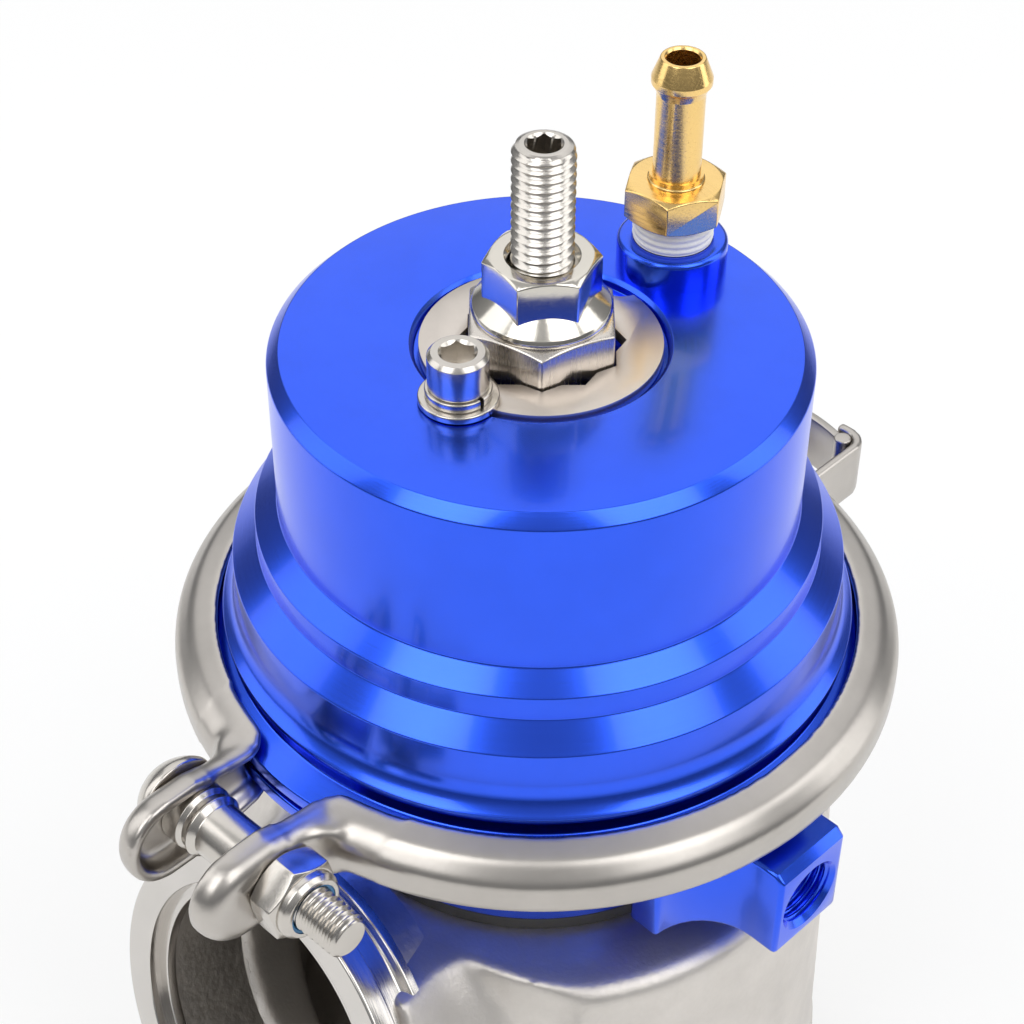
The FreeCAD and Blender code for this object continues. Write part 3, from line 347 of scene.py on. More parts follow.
# turned stainless: bright, with rings at the tool's feed, drawn at 0.2 mm so that they show
turnedSteel = surface("stainlessTurned", "C9C5C0", (0.12, 0.26), rings=(0.22, 0.006), tone=0.03)
flangeSteel = surface("stainlessTurnedOutlet", "CDC9C4", (0.12, 0.28), rings=(0.25, 0.007), tone=0.03,
                      outlet=True)
# pressed stainless strip: smooth, slightly dulled by the press
bandSteel = surface("stainlessPressedStrip", "BAB5AF", (0.26, 0.36), grain=(0.7, 0.004), tone=0.06)
# cold-headed stainless fasteners: bright, with small handling marks
boltSteel = surface("stainlessFastener", "C6C1BA", (0.16, 0.3), grain=(0.35, 0.006), tone=0.05)
# nickel plate on steel: almost a mirror
nickelSteel = surface("nickelPlatedSteel", "D3CEC4", (0.08, 0.2), grain=(0.4, 0.003), tone=0.03)
# drawn hexagon bar: a brushed look along the axis
brushedSteel = surface("stainlessBrushedHex", "D0CAC3", (0.18, 0.34), grain=(0.35, 0.008), tone=0.05,
                       stretch=(1, 1, 0.06))
# laser-cut rolled sheet: satin
plateSteel = surface("stainlessLaserCutPlate", "D0C8C0", (0.3, 0.45), grain=(0.3, 0.006), tone=0.05)
# turned aluminium, anodised blue: coloured metal with a clear sealed skin and faint rings
anodised = {"colour": "2C5BEF", "rough": (0.2, 0.26), "rings": (0.25, 0.0016), "tone": 0.04,
            "Coat_Weight": 0.35, "Coat_Roughness": 0.08}
capBlue = surface("aluminiumTurnedBlueAnodised", **anodised)
housingBlue = surface("aluminiumTurnedBlueAnodisedHousing", **anodised)
# turned brass, unplated: bright yellow metal with rings
brass = surface("brassTurned", "F0CB84", (0.14, 0.3), rings=(0.3, 0.006), tone=0.06)
# wound PTFE tape: matt white, creased
tape = surface("ptfeThreadTape", "F2F1EC", (0.45, 0.62), metallic=0.0, grain=(0.5, 0.05), tone=0.03)
# moulded nylon: satin blue
nylon = surface("nylonBlueInsert", "2A7DB4", (0.3, 0.42), metallic=0.0, grain=(0.4, 0.01), tone=0.05)
# pressed fibre sheet: dull grey
gasketFibre = surface("fibreGasketSheet", "4B4A48", (0.6, 0.8), metallic=0.0, grain=(0.4, 0.08), tone=0.15)
# oil-hardened spring wire: dark and smooth
springSteel = surface("springSteelOiled", "5E5B58", (0.22, 0.36), grain=(0.5, 0.01), tone=0.1)
# zinc plate on steel: pale and slightly blue
zincSteel = surface("zincPlatedSteel", "B9BDBE", (0.2, 0.36), grain=(0.6, 0.006), tone=0.06)
# turned aluminium, unfinished: light grey with rings
plainAluminium = surface("aluminiumTurnedPlain", "C8C9CB", (0.22, 0.36), rings=(0.25, 0.006), tone=0.04)
# turned bronze: brown-yellow with rings
bronze = surface("bronzeTurned", "A9783F", (0.25, 0.4), rings=(0.25, 0.006), tone=0.06)
# moulded nitrile rubber: black, half matt
rubber = surface("nitrileRubber", "1B1B1C", (0.4, 0.55), metallic=0.0, grain=(0.5, 0.02), tone=0.2)
# rubber on woven fabric: black, matt, with a weave's grain
diaphragmRubber = surface("fabricReinforcedRubber", "2A2725", (0.5, 0.65), metallic=0.0, grain=(0.8, 0.06),
                          tone=0.2)

slotMaterials = {
    "cast_stainless": castSteel, "turned_steel": turnedSteel, "machined_stainless": brushedSteel,
    "fastener_stainless": boltSteel, "nickel_steel": nickelSteel, "clamp_stainless": bandSteel,
    "spring_steel": springSteel, "zinc_steel": zincSteel, "plain_aluminium": plainAluminium,
    "blue_anodised_cap": capBlue, "blue_anodised_housing": housingBlue, "bronze": bronze, "brass": brass,
    "black_rubber": rubber, "diaphragm_rubber": diaphragmRubber, "gasket_fibre": gasketFibre,
    "white_tape": tape, "blue_nylon": nylon,
}
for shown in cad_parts.values():
    for entry in shown.material_slots:
        key = entry.material.name.split(".")[0]
        if key in slotMaterials:
            entry.material = slotMaterials[key]
print("materials made")


def painted(obj, material):
    obj.data.materials.clear()
    obj.data.materials.append(material)
    return obj


def piece(obj, body, nodes, material=None, smooth=32.0):
    # to metres, shaded, and given its place in the frame
    only(obj)
    if material:
        painted(obj, material)
    obj.scale = (metre, metre, metre)
    bpy.ops.object.transform_apply(location=True, rotation=True, scale=True)
    bpy.ops.object.shade_smooth_by_angle(angle=math.radians(smooth))
    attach(obj, body)
    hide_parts(*nodes)
    print(obj.name, len(obj.data.polygons))
    return obj


# Valve body, with what stands in it

bodySize = {
    "top": 43.7, "foot": 45.5, "bead": 0.5, "beadLow": 16.5, "beadHigh": 19.1, "under": 11.5, "corner": 5.0,
    "lip": 2.6, "relief": 64.3, "setback": 14.9,
    "tube": 26.4, "tubeFront": 6.5, "tubeBack": 52.0,
    "collarStart": 11.5, "collarCurve": 13.0, "collarBack": 28.7,
    "neck": 27.5, "neckLow": 2.0, "neckHigh": 20.0,
    "bore": 22.0, "pocket": 25.2, "pocketLow": 21.0, "pocketHigh": 26.0, "shoulder": 28.0, "floor": 19.0,
    "chamber": 37.0, "ceiling": 61.0, "boss": 12.0, "bossLow": 52.0, "guide": 8.0,
    "innerWay": 21.0, "innerLow": 27.2, "innerHigh": 63.0, "frontWay": 22.8, "frontDepth": 16.4,
    "voxel": 0.9, "smoothing": 6}


def wayTools(s):
    # the gas way: inlet bore, seat pocket, chamber, inner way and outlet bore
    chamber = lathe("chamber", [
        (0, -1), (s["bore"], -1), (s["bore"], s["pocketLow"]), (s["pocket"], s["pocketLow"]),
        (s["pocket"], s["pocketHigh"]), (s["shoulder"], s["pocketHigh"]), (s["shoulder"], s["floor"]),
        (s["chamber"], s["floor"]), (s["chamber"], s["ceiling"]), (s["boss"], s["ceiling"]),
        (s["boss"], s["bossLow"]), (s["guide"], s["bossLow"]), (s["guide"], deck + 1),
        (0, deck + 1)], steps=96)
    inner = atOutlet(rod("innerWay", s["innerWay"], -50.0, -12.0))
    inner = combine(inner, box("lowWay", -60, 60, -60, 0, s["innerLow"], s["innerHigh"]), "INTERSECT")
    inner = combine(inner, rod("guideBoss", s["boss"], 55.0, 70.0))
    front = atOutlet(rod("frontWay", s["frontWay"], -s["frontDepth"], 1.0))
    return [chamber, inner, front]


def makeBody(s):
    bead = s["foot"] + s["bead"]
    vessel = lathe("valveBody", [
        (0, s["under"]), (bead, s["under"], s["corner"]), (bead, s["beadHigh"], 0.5),
        (s["foot"], s["beadHigh"] + s["bead"]), (s["top"], deck, s["lip"]), (0, deck)])
    reach = s["setback"] + s["relief"]
    relief = atOutlet(put(rod("relief", s["relief"], -120, 120, sides=256), (0, 0, -reach), "X", 90))
    combine(vessel, relief, "INTERSECT")
    root = s["collarStart"] + s["collarCurve"]
    wide = s["tube"] + s["collarCurve"]
    bend = s["collarCurve"] * (1 - math.cos(math.radians(45)))
    collar = arc((wide, -root), (s["tube"] + bend, -root + bend), (s["tube"], -s["collarStart"]))
    tube = atOutlet(lathe("tube", [
        (0, -s["tubeBack"]), (s["tube"], -s["tubeBack"]), (s["tube"], -s["collarBack"]),
        (wide, -s["collarBack"]), (wide, -root)] + collar + [
        (s["tube"], -s["tubeFront"]), (0, -s["tubeFront"])]))
    combine(tube, box("overDeck", -80, 80, -80, 80, deck - 0.02, deck + 60))
    neck = rod("inletNeck", s["neck"], s["neckLow"], s["neckHigh"])
    combine(vessel, tube, "UNION")
    combine(vessel, neck, "UNION")
    for tool in wayTools(s):
        combine(vessel, tool)
    skinned(vessel, s["voxel"], s["smoothing"])
    return painted(vessel, castSteel)


flangeSize = {"rim": 28.6, "rimDepth": 3.3, "neck": 25.0, "neckDepth": 8.5, "root": 26.2, "rootDepth": 10.5,
              "bore": 22.0, "register": 23.7, "registerDepth": 2.0, "liner": 24.0, "linerDepth": 16.7,
              "inletRim": 33.25, "inletNeck": 27.5, "inletRegister": 27.0, "inletDepth": 12.0}


def makeFlanges(s):
    # the machined ends, sharp where the casting is soft
    outlet = atOutlet(lathe("outletFlange", [
        (s["register"], 0, 0.3), (s["rim"], 0, 0.5), (s["rim"], -s["rimDepth"], 0.4), (s["neck"], -4.6, 0.6),
        (s["neck"], -s["neckDepth"], 0.8), (s["root"], -9.2, 0.5), (s["root"], -s["rootDepth"]),
        (22.9, -s["rootDepth"]), (s["bore"], -3.6, 0.1), (s["bore"], -s["registerDepth"], 0.2),
        (s["register"], -s["registerDepth"])], ring=True, steps=160))
    liner = atOutlet(lathe("outletBore", [
        (s["bore"], -3.5), (s["liner"], -3.5), (s["liner"], -s["linerDepth"]), (21.4, -s["linerDepth"], 0.2),
        (s["bore"], -16.0, 0.3)], ring=True, steps=160))
    inlet = lathe("inletFlange", [
        (s["inletRegister"], 0, 0.3), (s["inletRim"], 0, 0.5), (s["inletRim"], s["rimDepth"], 0.4),
        (s["inletNeck"], 5.4, 0.6), (s["inletNeck"], s["inletDepth"]), (s["bore"], s["inletDepth"]),
        (s["bore"], s["registerDepth"], 0.2), (s["inletRegister"], s["registerDepth"])], ring=True, steps=160)
    return painted(outlet, flangeSteel), painted(liner, castBore), painted(inlet, turnedSteel)


casting = joined(makeBody(bodySize), *makeFlanges(flangeSize))
piece(casting, "body", ["valve_body"], smooth=40)

innards = {
    "valveSeat": (["valve_seat"], "body", "turned_steel", turnedSteel, True,
                  [(20.0, 21.0), (25.0, 21.0, 0.3), (25.0, 27.0, 0.3), (22.0, 27.0, 0.1), (20.0, 25.0, 0.2)]),
    "insulatorGasket": (["insulator_gasket"], "body", "gasket_fibre", gasketFibre, True,
                        [(12.0, 73.0), (31.5, 73.0, 0.15), (31.5, 75.0, 0.15), (12.0, 75.0)]),
    "poppetValve": (["poppet_valve"], "valve", "turned_steel", turnedSteel, False,
                    [(0, 24.3), (18.0, 24.3, 0.4), (19.7, 25.3), (21.7, 27.0), (21.7, 27.2),
                     (23.5, 27.2, 0.3), (23.5, 30.0, 0.5)] + arc((23.5, 30.0), (8.5, 33.325), (4.75, 39.5))
                    + [(4.75, 99.0), (4.0, 99.0), (4.0, 110.2), (3.2, 111.0), (0, 111.0)]),
    "stemGuide": (["stem_guide"], "body", "bronze", bronze, True,
                  [(4.8, 52.0), (7.95, 52.0, 0.8), (7.95, 73.0), (4.8, 73.0)]),
}
for name, (nodes, body, slot, material, ring, corners) in innards.items():
    piece(lathe(name, corners, ring), body, nodes, material)
print("valve body done")


# Lower housing

housingSize = {
    "low": 75.0, "foot": 31.5, "footTop": 78.5, "flank": 34.7, "flankAt": 88.5,
    "throat": 42.3, "throatTop": 95.75, "rim": 46.5, "rimHigh": 101.0,
    "bowl": 37.0, "bowlFoot": 25.0, "bowlFloor": 81.0,
    "hub": 11.0, "hubTop": 84.5, "seal": 8.02, "stem": 5.05,
    "portFace": 50.9, "portHalf": 6.4, "portLow": 79.0, "portHigh": 94.1, "portEdge": 0.9, "flare": 9.0,
    "hole": 86.0, "thread": 5.0, "threadDepth": 0.55, "pitch": 1.0, "threadEnd": 9.5, "passage": 2.4}


def makeHousing(s):
    flank = arc((s["foot"], s["footTop"]), (s["flank"], s["flankAt"]), (s["throat"], s["throatTop"]))
    shell = lathe("lowerHousing", [
        (s["stem"], s["low"]), (s["foot"], s["low"], 0.3), (s["foot"], s["footTop"])] + flank + [
        (s["throat"], 97.75, 0.4), (s["rim"], 98.95, 0.3), (s["rim"], s["rimHigh"], 0.3),
        (s["bowl"], s["rimHigh"], 0.3), (s["bowl"], 98.5), (26.5, 82.5), (s["bowlFoot"], s["bowlFloor"]),
        (s["hub"], s["bowlFloor"], 0.4), (s["hub"], s["hubTop"], 0.3), (s["seal"], s["hubTop"]),
        (s["seal"], s["footTop"]), (s["stem"], s["footTop"])], ring=True)
    face, half = s["portFace"], s["portHalf"]
    wide = half + s["flare"]
    side = ([(face - 4.0, half)] + arc((face - 4.0, half), (40.54, 9.04), (face - 13.0, wide))
            + [(33.0, wide)])
    outline = [(face, -half), (face, half)] + side + [(x, -y) for x, y in reversed(side)]
    block = prism("port", outline, s["portLow"], s["portHigh"])
    slope = rod("edge", 3.0, -30, 30, sides=4, corner=0)  # takes the port's upper edge off at 45 degrees
    put(slope, (face + s["portEdge"], 0, s["portHigh"] + s["portEdge"]), "X", 90)
    combine(block, slope)
    soften(block, 0.7, 3, 50)
    combine(shell, block, "UNION")
    hole = threadRod("hole", s["thread"], s["threadDepth"], s["pitch"], -s["threadEnd"], 0.5)
    mouth = lathe("mouth", [(0, -13.0), (s["passage"], -13.0), (s["passage"], -11.0), (4.5, -9.4),
                            (4.5, -0.9), (5.9, 0.6), (0, 0.6)], steps=64)
    combine(hole, mouth, "UNION")
    combine(shell, put(hole, (face, 0, s["hole"]), "Y", 90))
    return shell


piece(makeHousing(housingSize), "body", ["lower_housing"], housingBlue)
print("lower housing done")


# Actuator cap

capSize = {
    "crown": 34.5, "chamfer": 1.6, "crownLow": 126.5, "band": 37.6, "bandHigh": 124.2, "bandLow": 120.7,
    "wall": 41.0, "wallHigh": 117.6, "wallLow": 112.5, "bead": 43.0, "beadHigh": 108.6, "beadLow": 107.7,
    "throat": 42.3, "throatLow": 105.25, "rim": 46.5, "rimHigh": 104.05, "rimLow": 102.0,
    "bowl": 37.0, "bowlTop": 115.0, "bore": 30.5, "boreLow": 122.0, "boreTop": 138.0,
    "recess": 16.1, "recessFloor": 148.5, "pocket": 11.2, "pocketFloor": 145.3, "thread": 8.05,
    "boss": 7.25, "bossAt": 24.2, "bossTop": 154.4, "bossLow": 142.0, "bossBore": 5.05}


def makeCap(s):
    fillet = [(41.1, 111.5), (41.44, 110.4), (42.0, 109.45), (42.7, 108.9)]  # from the wall out to the bead
    shell = lathe("actuatorCap", [
        (s["thread"], s["boreTop"]), (s["thread"], s["pocketFloor"]), (s["pocket"], s["pocketFloor"]),
        (s["pocket"], s["recessFloor"], 0.15), (s["recess"], s["recessFloor"], 0.2),
        (s["recess"], capTop - 0.5, 0.1), (s["recess"] + 0.5, capTop, 0.15),
        (s["crown"] - s["chamfer"], capTop, 0.35), (s["crown"], capTop - s["chamfer"], 0.5),
        (s["crown"], s["crownLow"], 0.5), (s["band"], s["bandHigh"], 0.35), (s["band"], s["bandLow"], 0.35),
        (s["wall"], s["wallHigh"], 0.4), (s["wall"], s["wallLow"])] + fillet + [
        (s["bead"], s["beadHigh"], 0.2), (s["bead"], s["beadLow"], 0.25), (s["throat"], s["beadLow"], 0.1),
        (s["throat"], s["throatLow"], 0.4), (s["rim"], s["rimHigh"], 0.3), (s["rim"], s["rimLow"], 0.3),
        (s["bowl"], s["rimLow"], 0.2), (s["bowl"], s["bowlTop"]), (s["bore"], s["boreLow"]),
        (s["bore"], s["boreTop"], 3.0)], ring=True, steps=192)
    boss = put(lathe("boss", [(s["bossBore"], s["bossLow"]), (s["boss"], s["bossLow"]),
                              (s["boss"], s["bossTop"], 0.8), (s["bossBore"], s["bossTop"], 0.3)], ring=True),
               (0, s["bossAt"], 0))
    combine(shell, rod("bossHole", s["bossBore"] + 0.05, s["bossLow"] + 0.5, capTop + 1, 0, s["bossAt"]))
    return combine(shell, boss, "UNION")


piece(makeCap(capSize), "cap", ["actuator_cap"], capBlue)
print("cap done")


# Adjuster, stop stud and flange nut

adjusterSize = {"flat": 18.0, "low": 145.9, "top": 154.9, "corner": -45.0, "shank": 8.0, "end": 136.5,
                "groove": 6.4, "grooveLow": 141.0, "grooveHigh": 143.0, "bore": 3.97}


def makeAdjuster(s):
    head = hexHead("preloadAdjuster", s["flat"], s["low"], s["top"], s["corner"], slope=22.0, edge=0.22)
    shank = lathe("shank", [
        (0, s["end"]), (s["shank"], s["end"], 0.6), (s["shank"], s["grooveLow"]),
        (s["groove"], s["grooveLow"]), (s["groove"], s["grooveHigh"]), (s["shank"], s["grooveHigh"]),
        (s["shank"], s["low"] + 1), (0, s["low"] + 1)])
    combine(head, shank, "UNION")
    return combine(head, rod("bore", s["bore"], s["end"] - 1, s["top"] + 1))


def socketLead(low, mouth, high):
    # the small countersink at the mouth of a 4 mm hexagon socket
    return lathe("lead", [(0, low), (mouth, low), (2.6, high), (0, high)], steps=64)


studSize = {"radius": 3.92, "depth": 0.62, "pitch": 1.25, "low": 128.6, "tip": 178.6, "socket": 4.0,
            "socketDepth": 6.0, "corner": 15.0}


def makeStud(s):
    low, tip = s["low"], s["tip"]
    stud = threadRod("stopStud", s["radius"], s["depth"], s["pitch"], low, tip - 0.01)
    form = lathe("form", [(0, low - 1), (3.1, low - 1), (3.1, low), (5.0, low + 1.9), (5.0, tip - 2.4),
                          (s["radius"], tip - 0.9), (3.55, tip - 0.35, 0.3), (2.9, tip - 0.02, 0.4),
                          (0, tip - 0.02)], steps=96)
    combine(stud, form, "INTERSECT")
    combine(stud, rod("socket", s["socket"] / math.sqrt(3), tip - s["socketDepth"], tip + 1, sides=6,
                      corner=s["corner"]))
    return combine(stud, socketLead(tip - 0.5, 1.9, tip + 0.2))


nutSize = {"flange": 8.9, "flat": 13.0, "low": 154.9, "top": 162.9, "corner": -69.0, "bore": 3.97}


def makeFlangeNut(s):
    low, top = s["low"], s["top"]
    nut = hexHead("studFlangeNut", s["flat"], low, top, s["corner"], edge=0.16)
    flange = lathe("flange", [(0, low), (s["flange"] - 0.2, low, 0.2), (s["flange"], low + 0.55, 0.5),
                              (s["flange"] - 0.25, low + 1.15, 0.3), (6.9, low + 2.7, 0.8), (6.2, low + 3.3),
                              (0, low + 3.3)])
    combine(nut, flange, "UNION")
    bore = lathe("bore", [(0, low - 1), (s["bore"], low - 1), (s["bore"], top - 0.8, 0.3),
                          (s["bore"] + 1.4, top + 0.6), (0, top + 0.6)])
    return combine(nut, bore)


piece(makeAdjuster(adjusterSize), "cap", ["preload_adjuster"], brushedSteel)
piece(makeStud(studSize), "stop_stud", ["stop_stud"], boltSteel, smooth=45)
piece(makeFlangeNut(nutSize), "stud_nut", ["stud_flange_nut"], nickelSteel)
print("adjuster, stud and nut done")


# Locking plate with its screw and washers

plateSize = {"radius": 15.4, "low": 148.5, "top": 150.1, "star": 18.5, "corner": -45.0, "scallop": 3.4,
             "scallopAt": 16.4, "angles": (-84.0, 96.0), "edge": 0.12}


def makePlate(s):
    plate = rod("lockPlate", s["radius"], s["low"], s["top"], sides=192)
    for turn in (0, 30):
        combine(plate, rod("star", s["star"] / math.sqrt(3), s["low"] - 1, s["top"] + 1, sides=6,
                           corner=s["corner"] + turn))
    for angle in s["angles"]:
        a = math.radians(angle)
        combine(plate, rod("scallop", s["scallop"], s["low"] - 1, s["top"] + 1, s["scallopAt"] * math.cos(a),
                           s["scallopAt"] * math.sin(a)))
    return soften(plate, s["edge"], 2, 30)


screwSize = {"circle": 15.94, "angle": -84.2, "head": 3.8, "low": 152.4, "high": 157.4, "socket": 4.0,
             "socketDepth": 3.0, "corner": 20.0, "shank": 2.5, "length": 12.0}
washerSize = {"low": 150.1, "flatTop": 151.1, "flat": 5.0, "flatBore": 2.55, "springLow": 151.12,
              "springTop": 152.36, "spring": 4.15, "springBore": 2.6, "slit": 0.6}


def atScrew(obj):
    a = math.radians(screwSize["angle"])
    return put(obj, (screwSize["circle"] * math.cos(a), screwSize["circle"] * math.sin(a), 0))


def makeScrew(s):
    low, high = s["low"], s["high"]
    screw = lathe("lockScrew", [
        (0, low - s["length"]), (s["shank"], low - s["length"], 0.5), (s["shank"], low),
        (s["head"] - 0.1, low, 0.15), (s["head"], low + 0.3), (s["head"], high - 0.55, 0.15),
        (s["head"] - 0.5, high, 0.12), (0, high)], steps=96)
    combine(screw, rod("socket", s["socket"] / math.sqrt(3), high - s["socketDepth"], high + 1, sides=6,
                       corner=s["corner"]))
    return atScrew(combine(screw, socketLead(high - 0.45, 1.95, high + 0.2)))


def makeSpringWasher(s):
    ring = lathe("lockSpringWasher", [
        (s["springBore"], s["springLow"]), (s["spring"], s["springLow"], 0.2),
        (s["spring"], s["springTop"], 0.2), (s["springBore"], s["springTop"])], ring=True, steps=96)
    combine(ring, box("slit", 0, 6, -s["slit"] / 2, s["slit"] / 2, 150.9, 152.7))
    return atScrew(ring)


def makeFlatWasher(s):
    return atScrew(lathe("lockFlatWasher", [
        (s["flatBore"], s["low"]), (s["flat"], s["low"], 0.2), (s["flat"], s["flatTop"], 0.25),
        (s["flatBore"], s["flatTop"])], ring=True, steps=96))


flatWasher = makeFlatWasher(washerSize)
piece(makePlate(plateSize), "lock_plate", ["lock_plate"], plateSteel)
piece(makeScrew(screwSize), "lock_screw", ["lock_screw"], boltSteel)
piece(makeSpringWasher(washerSize), "lock_plate", ["lock_spring_washer"], boltSteel)
piece(flatWasher, "lock_plate", ["lock_flat_washer"], boltSteel)
print("locking plate done")


# Hose fitting and its tape

fittingSize = {"at": 24.2, "low": 146.4, "hexLow": 158.0, "hexHigh": 163.0, "flat": 12.0, "corner": -57.0,
               "thread": 5.0, "root": 3.7, "tube": 3.1, "tubeTop": 175.5, "barb": 3.85, "barbLow": 176.9,
               "barbHigh": 177.7, "tip": 2.8, "top": 180.4, "bore": 2.1}
tapeSize = {"low": 154.45, "wound": 3.5, "high": 157.98, "radius": 5.2, "wave": 0.09, "pitch": 0.91,
            "under": 5.02, "points": 24}


def makeFitting(s):
    nut = hexHead("hoseBarb", s["flat"], s["hexLow"], s["hexHigh"], s["corner"], slope=28.0, both=True,
                  edge=0.14)
    combine(nut, rod("way", 3.5, s["hexLow"] - 1, s["hexHigh"] + 1))
    stem = lathe("stem", [
        (s["bore"], s["low"]), (4.4, s["low"]), (s["thread"], s["low"] + 0.6),
        (s["thread"], s["hexLow"] + 0.6), (s["root"], s["hexLow"] + 0.6),
        (s["root"], s["hexHigh"] + 0.25, 0.2), (s["tube"], s["hexHigh"] + 0.6, 0.2),
        (s["tube"], s["tubeTop"], 0.3), (3.5, 176.5, 0.2),
        (s["barb"], s["barbLow"], 0.2), (s["barb"], s["barbHigh"], 0.3), (s["tip"], s["top"], 0.25),
        (s["bore"] + 0.25, s["top"], 0.1), (s["bore"], s["top"] - 0.3, 0.1)], ring=True, steps=96)
    return put(joined(nut, stem), (0, s["at"], 0))


def makeTape(s):
    # PTFE tape drawn into the thread under it, its two edges nearly flat
    side = []
    for k in range(s["points"] + 1):
        z = s["low"] + s["wound"] * k / s["points"]
        share = 1 if 0 < k < s["points"] else 0.2
        side.append((s["radius"] + s["wave"] * math.sin(z * math.tau / s["pitch"]) * share, z))
    outline = [(s["under"], s["low"] - 0.03)] + side + [(s["under"], s["high"])]
    ring = lathe("threadTape", outline, ring=True, steps=96)
    return put(ring, (0, fittingSize["at"], 0))


piece(makeFitting(fittingSize), "cap", ["hose_barb"], brass)
piece(makeTape(tapeSize), "cap", ["thread_tape"], tape)
print("fitting done")


# Band clamp, drawn with its bolt along X at -Y and turned at the end

bandSize = {
    "radius": 50.0, "wall": 1.7, "mouth": 43.9, "mouthHalf": 5.5, "leg": 47.6, "corner": 2.4, "round": 2.4,
    "slope": 16.0, "seat": 46.8, "seatHalf": 3.15, "hinge": 10.6,
    "gap": 5.25, "cup": 4.5, "half": 6.5, "rootHalf": 4.9, "root": -44.8, "swell": -50.5, "reach": 67.5,
    "earWall": 1.8, "earRound": 2.9, "hollowRound": 1.4,
    "foldHalf": 4.3, "shoulderLows": (2.4, -8.0), "shoulderHigh": 5.6, "channelHalf": 3.0,
    "rightHole": 3.95, "leftHole": 3.4,
    "voxel": 0.4, "smoothing": 9, "relaxing": 24}


def earOutline(s, inset):
    # seen along the bolt, in (y, z): a strip that widens from the band's height, with a round end
    half = s["half"] - inset
    root = s["rootHalf"] - inset
    end = -(s["reach"] - s["half"])
    swell = arc((s["root"], root), (s["swell"], root + 0.45), (-boltOut, half), 8)
    nose = arc((end, half), (end - half, 0), (end, -half), 24)
    return ([(s["root"], root)] + swell + [(end, half)] + nose
            + [(y, -z) for y, z in reversed(swell)] + [(s["root"], -root)])


def acrossX(obj, x0):
    # a prism drawn in (y, z) and up, laid over so that its height runs along +X from x0
    only(obj)
    obj.rotation_euler = (math.radians(90), 0, math.radians(90))
    obj.location = (x0, 0, split)
    bpy.ops.object.transform_apply(location=True, rotation=True, scale=True)
    return obj


def makeBand(s, side):
    # the channel of one half, with its ear pressed into a cup and its far end rolled for the hinge
    slope = math.tan(math.radians(s["slope"]))
    innerMouth = s["mouthHalf"] - s["wall"] / math.cos(math.radians(s["slope"]))
    webInner = s["radius"] - s["wall"]
    innerLeg = innerMouth - (webInner - s["mouth"]) * slope
    legHalf = s["mouthHalf"] - (s["leg"] - s["mouth"]) * slope
    band = lathe("clampHalf", [
        (s["mouth"], split + innerMouth), (s["mouth"], split + s["mouthHalf"]),
        (s["leg"], split + legHalf, s["round"]), (s["radius"], split + legHalf - s["corner"], s["round"]),
        (s["radius"], split - legHalf + s["corner"], s["round"]), (s["leg"], split - legHalf, s["round"]),
        (s["mouth"], split - s["mouthHalf"]), (s["mouth"], split - innerMouth),
        (webInner, split - innerLeg, 0.8), (webInner, split + innerLeg, 0.8)], ring=True, steps=192)
    combine(band, box("half", s["gap"], 60, -60, 60, 90, 112), "INTERSECT")
    combine(band, box("hinge", -1, s["hinge"], 0, 60, 90, 112))
    back = s["gap"] + s["cup"]
    cup = acrossX(prism("cup", earOutline(s, 0), 0, s["cup"] + 4), s["gap"] - 4)
    soften(cup, s["earRound"], 4, 50)
    combine(cup, box("gapSide", -9, s["gap"], -80, -30, 80, 120))
    combine(band, cup, "UNION")
    fold = arc((back, -50.97), (10.3, -49.5), (11.6, -48.6), 6)  # where the ear turns out of the band
    combine(band, prism("fold", [(9.0, -46.0), (9.0, -50.97), (back, -50.97)] + fold + [(11.6, -46.0)],
                        split - s["foldHalf"], split + s["foldHalf"]), "UNION")
    shoulder = arc((9.2, -42.9), (6.43, -44.58), (s["gap"], -47.81), 10)
    for low in s["shoulderLows"]:
        corner = [(9.2, -40.0), (9.2, -42.9)] + shoulder + [(3.0, -47.81), (3.0, -40.0)]
        combine(band, prism("shoulder", corner, split + low, split + low + s["shoulderHigh"]))
    floor = s["cup"] - s["earWall"]
    hollow = acrossX(prism("hollow", earOutline(s, s["earWall"]), 0, floor + 4), s["gap"] - 4)
    combine(band, soften(hollow, s["hollowRound"], 3, 50))
    combine(band, box("channel", s["gap"] - 1, back - s["earWall"], -49.8, -40.0, split - s["channelHalf"],
                      split + s["channelHalf"]))
    combine(band, rod("flanges", s["seat"], split - s["seatHalf"], split + s["seatHalf"], sides=192))
    joined(band, makeLoop(loopSize))
    hole = put(rod("boltHole", s["rightHole"] if side > 0 else s["leftHole"], 0, 20, sides=48),
               (0, -boltOut, split), "Y", 90)
    combine(band, hole)
    skinned(band, s["voxel"], s["smoothing"])
    relax(band, lambda p: p.x < 17 and -53.5 < p.y < -40.5, s["relaxing"])
    if side < 0:
        band.scale = (-1, 1, 1)
        only(band)
        bpy.ops.object.transform_apply(location=True, rotation=True, scale=True)
        bpy.ops.object.mode_set(mode="EDIT")
        tidyMesh(0.0001)
    return put(band, degrees=bandTurn)


loopSize = {"pinAt": 9.0, "pin": 1.3, "offset": 57.0, "near": 10.6, "strip": 1.5, "top": 60.1, "bend": 1.9,
            "half": 4.75, "lip": 6.6, "root": 46.5, "link": 0.7, "linkHalf": 4.3, "bow": 1.6}


